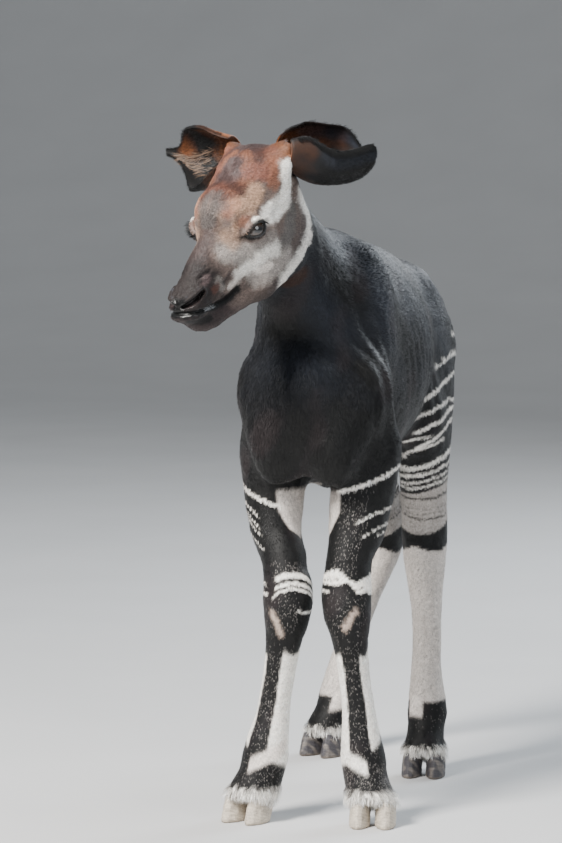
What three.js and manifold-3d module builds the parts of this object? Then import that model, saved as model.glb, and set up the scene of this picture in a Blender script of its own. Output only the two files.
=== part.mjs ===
// A life-size okapi calf, standing still with its head turned to its right.
// Millimetres, +Z up. The calf looks along -Y, so +X is its left side.
import * as THREE from "three";
import { mergeVertices } from "three/addons/utils/BufferGeometryUtils.js";
import Module from "manifold-3d";

const wasm = await Module();
wasm.setup();

// Driving sizes of the calf
const WITHERS = 888; // height of the shoulders' top
const CROUP = 838; // height of the hips' top
const BRISKET = 496; // height of the chest's lowest point
const CHEST_HALF = 111; // half the width of the ribs
const EYE = 19; // radius of an eyeball
const LID = 3.2; // thickness of the lids
const EYE_OUT = 42; // from the head's midline to an eyeball's middle
const CORONET = 34; // height of a hoof's top at its middle
const CORONET_RISE = 0.3; // how the coronet climbs towards the toe
const CLAW = { long: 66, wide: 35, apart: 18.5, splay: 5 };
const ELBOW_CUT = 505; // height at which a foreleg leaves the trunk
const STIFLE_CUT = 545; // height at which a hind leg leaves the trunk
const CARPUS_CUT = 380; // height at which a forearm ends
const TARSUS_CUT = 415; // height at which a gaskin ends
const FETLOCK_CUT = 122; // height at which a cannon ends
const SWAY = 6; // how far the chest leans over the left foreleg
const GAP = 0.3; // clearance between neighbouring pieces
const TAIL_LOCKS = { count: 7, top: 593, step: 15, long: 128, vary: 20, wide: 20, thick: 7 };

// Spacing of the surfaces' points on each part
const STEP = {
  torso: [26.5, 26.5, 26.5], neck: [22, 22, 22], head: [11.8, 11.8, 11.8], tail: [10, 10, 20],
  upper: [18, 18, 22], shank: [14, 14, 27],
};

// The four feet: side, where the hoof stands and how far it turns outwards, in degrees
const FEET = {
  foreleg_left: { side: 1, at: [103, -4], turn: 10 },
  foreleg_right: { side: -1, at: [-91, -16], turn: 16 },
  hindleg_left: { side: 1, at: [72, 440], turn: 6 },
  hindleg_right: { side: -1, at: [-138, 590], turn: 18 },
};

// The head's pose: its frame's origin lies midway between the eyes
const HEAD_AT = [-58, -222, 910];
const HEAD_TURN = { yaw: -17, pitch: 20.4, roll: -1.4 };

const rad = THREE.MathUtils.degToRad;
const point = (x, y, z) => new THREE.Vector3(x, y, z);

// Smooth union of two fields, blended over a width
function blend(a, b, width) {
  const h = Math.max(width - Math.abs(a - b), 0) / width;
  return Math.min(a, b) - (h * h * width) / 4;
}

// An ellipsoid's field
function ellipsoid(cx, cy, cz, rx, ry, rz) {
  return (x, y, z) => {
    const px = (x - cx) / rx, py = (y - cy) / ry, pz = (z - cz) / rz;
    const inner = Math.hypot(px, py, pz);
    const slope = Math.hypot(px / rx, py / ry, pz / rz);
    return slope < 1e-9 ? -Math.min(rx, ry, rz) : (inner * (inner - 1)) / slope;
  };
}

// A round bar between two points whose radius runs from one value to another
function bar(a, b, ra, rb) {
  const [dx, dy, dz] = [b[0] - a[0], b[1] - a[1], b[2] - a[2]];
  const length2 = dx * dx + dy * dy + dz * dz;
  return (x, y, z) => {
    const along = ((x - a[0]) * dx + (y - a[1]) * dy + (z - a[2]) * dz) / length2;
    const t = Math.min(1, Math.max(0, along));
    const gap = Math.hypot(x - a[0] - t * dx, y - a[1] - t * dy, z - a[2] - t * dz);
    return gap - ra - (rb - ra) * t;
  };
}

// A limb: stations [x, y, z, half width, half depth] joined by a smooth curve of ellipses
function limb(stations, side = [1, 0, 0], steps = 5) {
  const path = new THREE.CatmullRomCurve3(stations.map((s) => point(s[0], s[1], s[2])), false, "centripetal");
  const sizes = new THREE.CatmullRomCurve3(stations.map((s) => point(s[3], s[4], 0)), false, "catmullrom");
  const count = (stations.length - 1) * steps;
  const rings = [];
  for (let i = 0; i <= count; i++) {
    const at = path.getPoint(i / count);
    const size = sizes.getPoint(i / count);
    rings.push({ at, w: size.x, d: size.y });
  }
  const pieces = [];
  for (let i = 0; i < count; i++) {
    const run = rings[i + 1].at.clone().sub(rings[i].at);
    const length = run.length();
    const along = run.divideScalar(length);
    const across = point(...side).addScaledVector(along, -along.dot(point(...side))).normalize();
    const front = along.clone().cross(across);
    pieces.push({ a: rings[i], b: rings[i + 1], along, across, front, length, last: i === count - 1, first: i === 0 });
  }
  return (x, y, z) => {
    let nearest = Infinity, best = null, bestT = 0;
    for (const p of pieces) {
      const qx = x - p.a.at.x, qy = y - p.a.at.y, qz = z - p.a.at.z;
      const t = Math.min(p.length, Math.max(0, qx * p.along.x + qy * p.along.y + qz * p.along.z));
      const ex = qx - t * p.along.x, ey = qy - t * p.along.y, ez = qz - t * p.along.z;
      const far = ex * ex + ey * ey + ez * ez;
      if (far < nearest) {
        nearest = far;
        best = p;
        bestT = t / p.length;
      }
    }
    const p = best;
    const w = p.a.w + (p.b.w - p.a.w) * bestT, d = p.a.d + (p.b.d - p.a.d) * bestT;
    const cx = x - p.a.at.x - (p.b.at.x - p.a.at.x) * bestT;
    const cy = y - p.a.at.y - (p.b.at.y - p.a.at.y) * bestT;
    const cz = z - p.a.at.z - (p.b.at.z - p.a.at.z) * bestT;
    const u = (cx * p.across.x + cy * p.across.y + cz * p.across.z) / w;
    const v = (cx * p.front.x + cy * p.front.y + cz * p.front.z) / d;
    const e = (cx * p.along.x + cy * p.along.y + cz * p.along.z) / Math.min(w, d);
    const share = Math.hypot(u, v, e);
    if (share < 1e-6) return -Math.min(w, d);
    return Math.hypot(cx, cy, cz) * (1 - 1 / share);
  };
}

// A station of the trunk between its lowest and highest point
const rib = (y, low, high, wide) => [SWAY / 2, y, (low + high) / 2, wide, (high - low) / 2];

// The trunk, from the chest's front to the buttocks
const trunk = limb([
  rib(-30, BRISKET + 74, WITHERS - 146, 72),
  rib(20, BRISKET + 40, WITHERS - 70, CHEST_HALF - 19),
  rib(90, BRISKET, WITHERS, CHEST_HALF - 10),
  rib(180, BRISKET + 8, WITHERS - 4, CHEST_HALF - 4),
  rib(270, BRISKET + 18, WITHERS - 14, CHEST_HALF - 1),
  rib(360, BRISKET + 40, CROUP + 24, CHEST_HALF - 9),
  rib(440, BRISKET + 68, CROUP + 8, CHEST_HALF - 26),
  rib(510, BRISKET + 90, CROUP - 8, CHEST_HALF - 41),
  rib(562, BRISKET + 116, CROUP - 44, CHEST_HALF - 55),
]);

const neck = limb([
  [2, 98, 764, 66, 116],
  [-3, 42, 796, 66, 108],
  [-11, -18, 838, 60, 92],
  [-18, -66, 882, 52, 75],
  [-25, -102, 924, 48, 63],
  [-30, -130, 960, 47, 55],
]);

// Chest, shoulder, hip and thigh of one side
function quarters(side) {
  const x = (from) => side * from + SWAY;
  return [
    [ellipsoid(x(42), -36, 590, 48, 50, 76), 30],
    [ellipsoid(x(56), 92, 770, 44, 60, 106), 36],
    [bar([x(71), 20, 664], [x(76), 58, 562], 48, 42), 34],
    [ellipsoid(x(66), -8, 644, 42, 46, 64), 30],
    [ellipsoid(side * 47, 496, 712, 42, 80, 88), 40],
    [ellipsoid(side * 46, 452, 800, 26, 34, 24), 30],
    [ellipsoid(side * 41, 566, 716, 30, 46, 66), 30],
  ];
}

// A foreleg from the shoulder's foot to the coronet: its path, widths, knee cap and heel
const forelegs = {
  foreleg_left: [
    [74, 62, 560, 50, 62], [72, 48, 500, 50, 58], [67, 35, 447, 44, 50], [61, 15, 404, 35, 40],
    [60, 4, 352, 39, 38], [63, 0, 316, 36, 36], [66, 2, 286, 29, 32], [68, 6, 255, 25, 30],
    [70, 10, 225, 24, 29], [74, 12, 195, 24, 29], [77, 14, 165, 26, 31], [79, 16, 134, 30, 35],
    [82, 18, 104, 34, 38], [86, 14, 75, 33, 35], [96, 6, 48, 36, 37], [101, 0, 31, 38, 38],
    [104, -4, 6, 39, 39],
  ],
  foreleg_right: [
    [-72, 62, 560, 50, 62], [-66, 48, 500, 48, 58], [-60, 35, 443, 40, 48], [-40, 12, 401, 35, 40],
    [-30, -2, 348, 39, 38], [-32, -3, 313, 36, 36], [-36, -1, 282, 29, 32], [-42, 3, 252, 26, 30],
    [-47, 6, 221, 25, 29], [-53, 7, 191, 25, 29], [-57, 7, 160, 26, 31], [-63, 5, 130, 32, 35],
    [-67, 2, 100, 35, 38], [-72, -3, 71, 34, 35], [-84, -11, 44, 37, 37], [-89, -14, 28, 38, 38],
    [-92, -16, 6, 39, 39],
  ],
};
const hindlegs = {
  hindleg_left: [
    [58, 520, 700, 40, 84], [62, 482, 612, 44, 84], [60, 490, 545, 43, 70], [56, 500, 480, 40, 56],
    [52, 520, 428, 38, 48], [51, 528, 380, 37, 46], [52, 525, 345, 35, 44], [56, 513, 314, 31, 39],
    [60, 502, 283, 27, 34], [63, 494, 251, 24, 31], [66, 487, 220, 24, 29], [66, 482, 189, 24, 29],
    [66, 480, 157, 26, 31], [69, 477, 125, 31, 35], [70, 472, 94, 32, 35], [70, 464, 71, 30, 33],
    [71, 450, 48, 34, 36], [72, 444, 26, 36, 37], [72, 440, 6, 37, 38],
  ],
  hindleg_right: [
    [-58, 520, 700, 40, 84], [-64, 484, 612, 44, 84], [-60, 520, 545, 43, 70], [-53, 562, 490, 40, 56],
    [-48, 606, 434, 38, 48], [-49, 638, 386, 36, 45], [-53, 646, 348, 35, 43], [-62, 640, 314, 31, 38],
    [-71, 632, 283, 27, 34], [-80, 626, 251, 24, 31], [-90, 622, 220, 24, 29], [-99, 620, 189, 24, 29],
    [-107, 619, 157, 26, 30], [-114, 618, 125, 30, 34], [-121, 616, 94, 31, 35], [-127, 610, 71, 29, 32],
    [-134, 600, 48, 33, 35], [-137, 594, 26, 35, 36], [-138, 590, 6, 37, 38],
  ],
};
const legShapes = {};
for (const [name, path] of Object.entries(forelegs)) {
  const [x, y, z] = path[4];
  legShapes[name] = [
    [limb(path), 30],
    [ellipsoid(x, y - 20, z - 14, 27, 19, 36), 14],
    [ellipsoid(x, y + 30, z - 10, 17, 15, 24), 12],
  ];
}
for (const [name, path] of Object.entries(hindlegs)) {
  const [x, y, z] = path[5];
  const front = path[1];
  legShapes[name] = [
    [limb(path), 30],
    [ellipsoid(front[0] + Math.sign(x) * 6, front[1] - 56, 590, 34, 38, 60), 30],
    [bar([x, y + 36, z + 20], [x + Math.sign(x) * 2, y + 34, z - 24], 15, 18), 16],
  ];
}

// The head in its own frame: nose towards -Y, left towards +X
const headSide = (side) => [
  [ellipsoid(side * 38, 4, -2, 23, 32, 28), 16],
  [ellipsoid(side * 33, 58, -42, 25, 66, 56), 26],
  [bar([side * 32, 84, -84], [side * 26, 10, -94], 21, 18), 20],
  [bar([side * 26, 10, -94], [side * 12, -108, -97], 18, 13), 18],
  [ellipsoid(side * 14, -133, -53, 13, 25, 15), 10],
  [ellipsoid(side * 13, -134, -72, 14, 22, 10), 10],
  [bar([side * 36, 96, 52], [side * 50, 116, 72], 22, 21), 18],
];
const headShapes = [
  [ellipsoid(0, 84, 34, 57, 66, 60), 20],
  [ellipsoid(0, 14, 22, 49, 62, 44), 24],
  [limb([[0, 30, -34, 46, 62], [0, -20, -34, 39, 52], [0, -66, -41, 31, 45], [0, -104, -52, 27, 36], [0, -136, -61, 24, 25]]), 18],
  [ellipsoid(0, -114, -97, 19, 32, 16), 12],
  [ellipsoid(0, -149, -70, 15, 14, 17), 10],
  ...headSide(1),
  ...headSide(-1),
];

const headMatrix = new THREE.Matrix4()
  .makeRotationFromEuler(new THREE.Euler(rad(HEAD_TURN.pitch), rad(HEAD_TURN.roll), rad(HEAD_TURN.yaw), "ZXY"))
  .setPosition(...HEAD_AT);
const headInverse = headMatrix.clone().invert();

// One field out of several shapes, each blended in over its own width
function union(shapes) {
  return (x, y, z) => {
    let value = shapes[0][0](x, y, z);
    for (let i = 1; i < shapes.length; i++) value = blend(value, shapes[i][0](x, y, z), shapes[i][1]);
    return value;
  };
}

const headLocal = union(headShapes);
const headField = (x, y, z) => {
  const e = headInverse.elements;
  return headLocal(
    e[0] * x + e[4] * y + e[8] * z + e[12],
    e[1] * x + e[5] * y + e[9] * z + e[13],
    e[2] * x + e[6] * y + e[10] * z + e[14],
  );
};
const dock = bar([0, 588, 780], [0, 640, 770], 24, 19);
const bodyShapes = [[trunk, 1], [neck, 46], ...quarters(1), ...quarters(-1), [dock, 26]];
const legFields = Object.values(legShapes).map(union);
const coreField = union(bodyShapes);
const torsoField = union([[coreField, 1], ...legFields.map((f) => [f, 30]), [headField, 24]]);
const legField = (name) => union([[coreField, 1], [union(legShapes[name]), 30]]);

// A closed mesh of a field's zero surface in a box. Where two sheets of it share an edge, the
// grid is shifted a little and the mesh is made again
function surface(field, low, high, step) {
  let mesh = null;
  for (let shift = 0; shift < 12; shift += 1.7) {
    mesh = net(field, low.map((v) => v - shift), high, step);
    if (edgesPaired(mesh.index.array)) break;
  }
  return mesh;
}

// Whether every edge belongs to just two triangles
function edgesPaired(index) {
  const seen = new Set();
  for (let t = 0; t < index.length; t += 3)
    for (let k = 0; k < 3; k++) {
      const edge = `${index[t + k]} ${index[t + ((k + 1) % 3)]}`;
      if (seen.has(edge)) return false;
      seen.add(edge);
    }
  return true;
}

// One vertex in each cell that the surface crosses, moved onto the surface, and one quad round
// each grid edge that it crosses
function net(field, low, high, step) {
  const count = [0, 1, 2].map((k) => Math.ceil((high[k] - low[k]) / step[k]) + 1);
  const [nx, ny, nz] = count;
  const values = new Float32Array(nx * ny * nz);
  const id = (i, j, k) => i + nx * (j + ny * k);
  for (let k = 0; k < nz; k++)
    for (let j = 0; j < ny; j++)
      for (let i = 0; i < nx; i++) {
        const edge = !i || !j || !k || i === nx - 1 || j === ny - 1 || k === nz - 1;
        const value = field(low[0] + i * step[0], low[1] + j * step[1], low[2] + k * step[2]);
        values[id(i, j, k)] = edge ? Math.max(value, step[0] * 0.3) : value;
      }
  const vertices = [];
  const cells = new Map();
  const corners = [];
  for (let c = 0; c < 8; c++) corners.push([c & 1, (c >> 1) & 1, c >> 2]);
  const edges = [];
  for (let a = 0; a < 8; a++)
    for (const bit of [1, 2, 4]) if (!(a & bit)) edges.push([a, a | bit]);
  for (let k = 0; k < nz - 1; k++)
    for (let j = 0; j < ny - 1; j++)
      for (let i = 0; i < nx - 1; i++) {
        const v = corners.map(([a, b, c]) => values[id(i + a, j + b, k + c)]);
        if (v.every((x) => x < 0) || v.every((x) => x >= 0)) continue;
        const sum = [0, 0, 0];
        let crossings = 0;
        for (const [a, b] of edges) {
          if (v[a] < 0 === v[b] < 0) continue;
          const t = v[a] / (v[a] - v[b]);
          for (let m = 0; m < 3; m++) sum[m] += corners[a][m] + (corners[b][m] - corners[a][m]) * t;
          crossings++;
        }
        const cell = [i, j, k];
        const at = sum.map((s, m) => low[m] + (cell[m] + s / crossings) * step[m]);
        const inside = cell.every((c, m) => c > 0 && c < count[m] - 2);
        for (let turn = 0; turn < 3 && inside; turn++) {
          const h = 0.5;
          const value = field(...at);
          const slope = [0, 1, 2].map((m) => {
            const next = at.slice();
            next[m] += h;
            return (field(...next) - value) / h;
          });
          const size = slope[0] ** 2 + slope[1] ** 2 + slope[2] ** 2 + 1e-9;
          for (let m = 0; m < 3; m++) {
            const floor = low[m] + cell[m] * step[m];
            const moved = at[m] - (slope[m] * value) / size;
            at[m] = Math.min(floor + step[m] * 0.98, Math.max(floor + step[m] * 0.02, moved));
          }
        }
        cells.set(id(i, j, k), vertices.length / 3);
        vertices.push(...at);
      }
  const index = [];
  const apart = (a, b) =>
    Math.hypot(...[0, 1, 2].map((m) => vertices[3 * a + m] - vertices[3 * b + m]));
  const quad = (a, b, c, d) => {
    if (apart(a, c) < apart(b, d)) index.push(a, b, c, a, c, d);
    else index.push(b, c, d, b, d, a);
  };
  for (let k = 0; k < nz - 1; k++)
    for (let j = 0; j < ny - 1; j++)
      for (let i = 0; i < nx - 1; i++) {
        const here = values[id(i, j, k)] < 0;
        const at = (a, b, c) => cells.get(id(i - a, j - b, k - c));
        const turns = [
          [1, 0, 0, () => [at(0, 0, 0), at(0, 1, 0), at(0, 1, 1), at(0, 0, 1)]],
          [0, 1, 0, () => [at(0, 0, 0), at(0, 0, 1), at(1, 0, 1), at(1, 0, 0)]],
          [0, 0, 1, () => [at(0, 0, 0), at(1, 0, 0), at(1, 1, 0), at(0, 1, 0)]],
        ];
        for (const [a, b, c, around] of turns) {
          if ((!i && !a) || (!j && !b) || (!k && !c)) continue;
          const next = values[id(i + a, j + b, k + c)] < 0;
          if (here === next) continue;
          const ring = around();
          if (here) quad(...ring);
          else quad(ring[3], ring[2], ring[1], ring[0]);
        }
      }
  return new THREE.BufferGeometry()
    .setAttribute("position", new THREE.BufferAttribute(new Float32Array(vertices), 3))
    .setIndex(index);
}

// A geometry as a solid
function solid(geometry) {
  const bare = geometry.clone();
  bare.deleteAttribute("normal");
  bare.deleteAttribute("uv");
  const merged = mergeVertices(bare, 1e-3);
  const vertProperties = new Float32Array(merged.attributes.position.array);
  const triVerts = new Uint32Array(merged.index.array);
  return new wasm.Manifold(new wasm.Mesh({ numProp: 3, vertProperties, triVerts }));
}

const SHORTEST = 0.12; // edges shorter than this are closed up

// The largest closed surface of a solid, as a geometry without slivers
function largest(piece) {
  const parts = piece.decompose().filter((p) => p.volume() > 0);
  parts.sort((a, b) => b.volume() - a.volume());
  const mesh = parts[0].getMesh();
  const spot = (i) => mesh.vertProperties.subarray(i * mesh.numProp, i * mesh.numProp + 3);
  const owner = Array.from({ length: mesh.numVert }, (_, i) => i);
  const root = (i) => {
    while (owner[i] !== i) i = owner[i];
    return i;
  };
  const triangles = mesh.triVerts;
  for (let t = 0; t < triangles.length; t += 3)
    for (let k = 0; k < 3; k++) {
      const [a, b] = [root(triangles[t + k]), root(triangles[t + ((k + 1) % 3)])];
      const [p, q] = [spot(a), spot(b)];
      if (a !== b && Math.hypot(p[0] - q[0], p[1] - q[1], p[2] - q[2]) < SHORTEST) owner[b] = a;
    }
  const index = [];
  const renumbered = new Map();
  const vertices = [];
  const number = (i) => {
    if (!renumbered.has(i)) {
      renumbered.set(i, vertices.length / 3);
      vertices.push(...spot(i));
    }
    return renumbered.get(i);
  };
  for (let t = 0; t < triangles.length; t += 3) {
    const [a, b, c] = [0, 1, 2].map((k) => root(triangles[t + k]));
    if (a !== b && b !== c && c !== a) index.push(number(a), number(b), number(c));
  }
  return new THREE.BufferGeometry()
    .setAttribute("position", new THREE.BufferAttribute(new Float32Array(vertices), 3))
    .setIndex(index);
}

const calf = new THREE.Group();
const coats = {};
function coat(name, colour, roughness = 0.85) {
  coats[name] ??= new THREE.MeshStandardMaterial({ name, color: colour, roughness, metalness: 0 });
  return coats[name];
}
function add(name, piece, material) {
  const mesh = new THREE.Mesh(largest(piece), material);
  mesh.name = name;
  calf.add(mesh);
}

// A box solid whose top face lies at a point, square to a direction
function block(at, up, size) {
  const box = new THREE.BoxGeometry(...size).translate(0, 0, -size[2] / 2);
  const turn = new THREE.Quaternion().setFromUnitVectors(point(0, 0, 1), point(...up).normalize());
  return solid(box.applyQuaternion(turn).translate(...at));
}

// A box solid between two corners
function box(low, high) {
  const size = high.map((h, k) => h - low[k]);
  const middle = high.map((h, k) => (h + low[k]) / 2);
  return solid(new THREE.BoxGeometry(...size).translate(...middle));
}

// A closed solid through rings of equally many points, with a fan at either end
function loft(rings) {
  const n = rings[0].length;
  const vertices = rings.flat(2);
  const index = [];
  for (let r = 0; r + 1 < rings.length; r++)
    for (let i = 0; i < n; i++) {
      const [a, b] = [r * n + i, r * n + ((i + 1) % n)];
      index.push(a, b, b + n, a, b + n, a + n);
    }
  for (const [r, flip] of [[0, true], [rings.length - 1, false]]) {
    const middle = [0, 1, 2].map((k) => rings[r].reduce((sum, q) => sum + q[k], 0) / n);
    const hub = vertices.length / 3;
    vertices.push(...middle);
    for (let i = 0; i < n; i++) {
      const [a, b] = [r * n + i, r * n + ((i + 1) % n)];
      index.push(...(flip ? [hub, b, a] : [hub, a, b]));
    }
  }
  const mesh = new THREE.BufferGeometry()
    .setAttribute("position", new THREE.BufferAttribute(new Float32Array(vertices), 3))
    .setIndex(index);
  const piece = solid(mesh);
  if (piece.volume() > 0) return piece;
  mesh.setIndex(index.map((_, i) => index[i - (i % 3) + 2 - (i % 3)]));
  return solid(mesh);
}

// A point of the head's frame, in the calf's frame
const onHead = (x, y, z) => point(x, y, z).applyMatrix4(headMatrix);

// An ear, held sideways, as a cupped sheet: its base, its way out, and the side its cup opens to.
// Each station: way along, sideways drift, drift to the open side, radius, half angle, roll
function ear(base, out, open, stations, thick) {
  const along = out.clone().normalize();
  const up = open.clone().addScaledVector(along, -open.dot(along)).normalize();
  const across = along.clone().cross(up);
  const turns = 14;
  const sheet = (inwards) =>
    stations.map(([run, drift, lift, radius, half, roll], k) => {
      const middle = base.clone().addScaledVector(along, run).addScaledVector(across, drift);
      middle.addScaledVector(up, lift);
      const wall = thick * (1 - 0.5 * (k / (stations.length - 1)));
      const row = [];
      for (let i = 0; i <= turns; i++) {
        const angle = rad(roll + half * ((2 * i) / turns - 1));
        const r = radius - inwards * wall;
        row.push(middle.clone().addScaledVector(across, r * Math.sin(angle))
          .addScaledVector(up, -r * Math.cos(angle)).toArray());
      }
      return row;
    });
  const outer = sheet(0), inner = sheet(1);
  return loft(outer.map((row, k) => [...row, ...inner[k].reverse()]));
}

const dark = coat("dark_coat", 0x14161c);
const striped = coat("striped_coat", 0x8a8680);
const face = coat("face_coat", 0x8b7a70);
const earCoat = coat("ear_coat", 0x1d1712);
const horn = coat("hoof_horn", 0x6d675f, 0.6);
const eyeWet = coat("eye_wet", 0x0c0b0c, 0.1);

// The trunk with the neck, parted from the head, the legs and the tail
const NECK_CUT = { at: [0, -5, 820], way: [-0.08, -0.64, 0.77] };
const NAPE_CUT = { at: onHead(0, 100, -6).toArray(), way: onHead(0, -0.94, 0.34).sub(onHead(0, 0, 0)).toArray() };
const TAIL_ROOT = [0, 634, 772];
const TAIL_WAY = [0, 0.94, 0.34];

// A large box whose face lies on a cut, on the side the cut points to
const beyond = ({ at, way }, shift = 0, size = 460) => {
  const unit = point(...way).normalize();
  const reach = point(...at).addScaledVector(unit, size + shift);
  return block(reach.toArray(), way, [size, size, size]);
};

const whole = solid(surface(torsoField, [-184, -153, 466], [180, 690, 1010], STEP.torso));
let torso = whole.subtract(beyond(NECK_CUT, -GAP / 2));
const LEG_RANGE = { fore: [-100, 142], hind: [402, 760] };
for (const [name, { side }] of Object.entries(FEET)) {
  const fore = name.startsWith("fore");
  const top = fore ? ELBOW_CUT : STIFLE_CUT;
  const rangeY = LEG_RANGE[fore ? "fore" : "hind"];
  const [inner, outer] = [side * (fore ? 8 : 12), side * 260];
  const low = [Math.min(inner, outer), rangeY[0], 200];
  const high = [Math.max(inner, outer), rangeY[1], top + GAP];
  torso = torso.subtract(box(low, high));
}
const dockFace = { at: TAIL_ROOT, way: TAIL_WAY };
torso = torso.subtract(beyond(dockFace, -GAP / 2, 90));
add("torso", torso, dark);

// The neck, up to the nape and the throat
const neckOnly = solid(surface(torsoField, [-130, -210, 690], [110, 130, 1020], STEP.neck));
let nape = neckOnly.intersect(beyond(NECK_CUT, GAP / 2)).subtract(beyond(NAPE_CUT, -GAP / 2));

// The legs: thigh or forearm, cannon, foot and claws
function clawRing(foot, s, back, scale, height) {
  const { at, side, turn } = foot;
  const heading = rad(turn) * side;
  const forward = [Math.sin(heading), -Math.cos(heading)];
  const right = [Math.cos(heading), Math.sin(heading)];
  const splay = rad(CLAW.splay) * s;
  const ring = [];
  for (let i = 0; i < 12; i++) {
    const angle = (i / 12) * 2 * Math.PI;
    const long = (CLAW.long / 2) * scale * Math.cos(angle);
    const bulge = s * Math.sin(angle) > 0 ? 1 : 0.86;
    const taper = long > 0 ? 1 - 0.16 * Math.cos(angle) : 1;
    const wide = (CLAW.wide / 2) * scale * bulge * taper * Math.sin(angle);
    const f = long * Math.cos(splay) - wide * Math.sin(splay) - back;
    const r = s * CLAW.apart + wide * Math.cos(splay) + long * Math.sin(splay);
    const x = at[0] + f * forward[0] + r * right[0];
    const y = at[1] + f * forward[1] + r * right[1];
    ring.push([x, y, height(f)]);
  }
  return ring;
}

function coronetHeight(f) {
  return CORONET + CORONET_RISE * f;
}

for (const [name, foot] of Object.entries(FEET)) {
  const fore = name.startsWith("fore");
  const [firstY, lastY] = LEG_RANGE[fore ? "fore" : "hind"];
  const [path, cut] = fore ? [forelegs[name], CARPUS_CUT] : [hindlegs[name], TARSUS_CUT];
  const xs = path.map((q) => q[0]), ys = path.map((q) => q[1]);
  const low = [Math.min(...xs) - 62, firstY - 10, -24];
  const top = fore ? ELBOW_CUT : STIFLE_CUT;
  const high = [Math.max(...xs) + 62, Math.max(Math.max(...ys) + 60, fore ? lastY + 10 : 0), top + 40];
  const shaft = solid(surface(legField(name), low, [high[0], high[1], cut + 60], STEP.shank));
  const upper = solid(surface(legField(name), [low[0], low[1], cut - 60], high, STEP.upper));
  const edges = [foot.side * ((fore ? 8 : 12) + GAP), foot.side * 260];
  const wide = [Math.min(...edges), Math.max(...edges)];
  const part = box([wide[0], firstY + GAP, cut], [wide[1], lastY - GAP, top]);
  add(`${name}_upper`, upper.intersect(part), fore ? dark : striped);
  add(`${name}_shank`, shaft.intersect(box([-400, -400, FETLOCK_CUT], [400, 900, cut - GAP])), striped);
  const heading = rad(foot.turn) * foot.side;
  const way = [Math.sin(heading) * CORONET_RISE, -Math.cos(heading) * CORONET_RISE, -1];
  const coronet = block([foot.at[0], foot.at[1], CORONET], [-way[0], -way[1], 1], [300, 300, 120]);
  const pastern = shaft.intersect(box([-400, -400, -60], [400, 900, FETLOCK_CUT - GAP]));
  add(`${name}_foot`, pastern.subtract(coronet), striped);
  for (const s of [-1, 1]) {
    const claw = loft([
      clawRing(foot, s, -2, 0.96, () => 0),
      clawRing(foot, s, -2, 1, () => 5),
      clawRing(foot, s, 4, 0.98, (f) => coronetHeight(f) * 0.6),
      clawRing(foot, s, 9, 0.92, (f) => coronetHeight(f) - GAP),
    ]);
    const place = s * foot.side > 0 ? "outer" : "inner";
    add(`${name}_claw_${place}`, claw, horn);
  }
}

// The tail's core, hanging straight down behind the thighs
const tailStations = [
  [0, 612, 778, 19, 19], [0, 640, 768, 16, 17], [0, 660, 738, 13, 14], [0, 670, 680, 10, 11],
  [0, 673, 610, 9, 9], [0, 670, 545, 9, 9], [0, 664, 495, 7, 7], [0, 661, 474, 4, 4],
];
const tailPath = limb(tailStations);

// How far back the tail's core lies at a height
function tailLine(z) {
  for (let k = 3; k + 1 < tailStations.length; k++) {
    const [, y0, z0] = tailStations[k], [, y1, z1] = tailStations[k + 1];
    if (z >= z1) return y0 + ((z - z0) / (z1 - z0)) * (y1 - y0);
  }
  return 660;
}
const GOLDEN = 2.39996; // the turn between one lock and the next
// A lock from root to tip: share of its length, distance from the tail's middle, share of its width
const LOCK_SHAPE = [[0, 2, 0.5], [0.2, 7, 1], [0.5, 8.5, 0.95], [0.78, 7, 0.66], [1, 4, 0.16]];
let tail = solid(surface(tailPath, [-30, 590, 450], [30, 700, 812], STEP.tail));

// The tuft: flat tapered locks that leave the tail's core in a spiral and hang over one another
for (let i = 0; i < TAIL_LOCKS.count; i++) {
  const turn = i * GOLDEN;
  const top = TAIL_LOCKS.top - i * TAIL_LOCKS.step;
  const long = TAIL_LOCKS.long + TAIL_LOCKS.vary * Math.sin(i * 2.3) - i * TAIL_LOCKS.step * 0.35;
  const out = point(Math.cos(turn), Math.sin(turn), 0);
  const side = point(-Math.sin(turn), Math.cos(turn), 0);
  const lean = 0.35 * Math.sin(i * 1.7);
  const rings = LOCK_SHAPE.map(([share, reach, width]) => {
    const z = top - share * long;
    const middle = point(0, tailLine(z), z).addScaledVector(out, reach);
    middle.addScaledVector(side, lean * share * TAIL_LOCKS.wide);
    const wide = (TAIL_LOCKS.wide / 2) * width;
    const thick = Math.max((TAIL_LOCKS.thick / 2) * width, GAP);
    return [[wide, 0], [0, thick], [-wide, 0], [0, -thick]]
      .map(([a, b]) => middle.clone().addScaledVector(side, a).addScaledVector(out, b).toArray());
  });
  tail = tail.add(loft(rings));
}
const inward = { at: TAIL_ROOT, way: TAIL_WAY.map((k) => -k) };
add("tail", tail.subtract(beyond(inward, -GAP / 2, 90)), dark);

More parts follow.
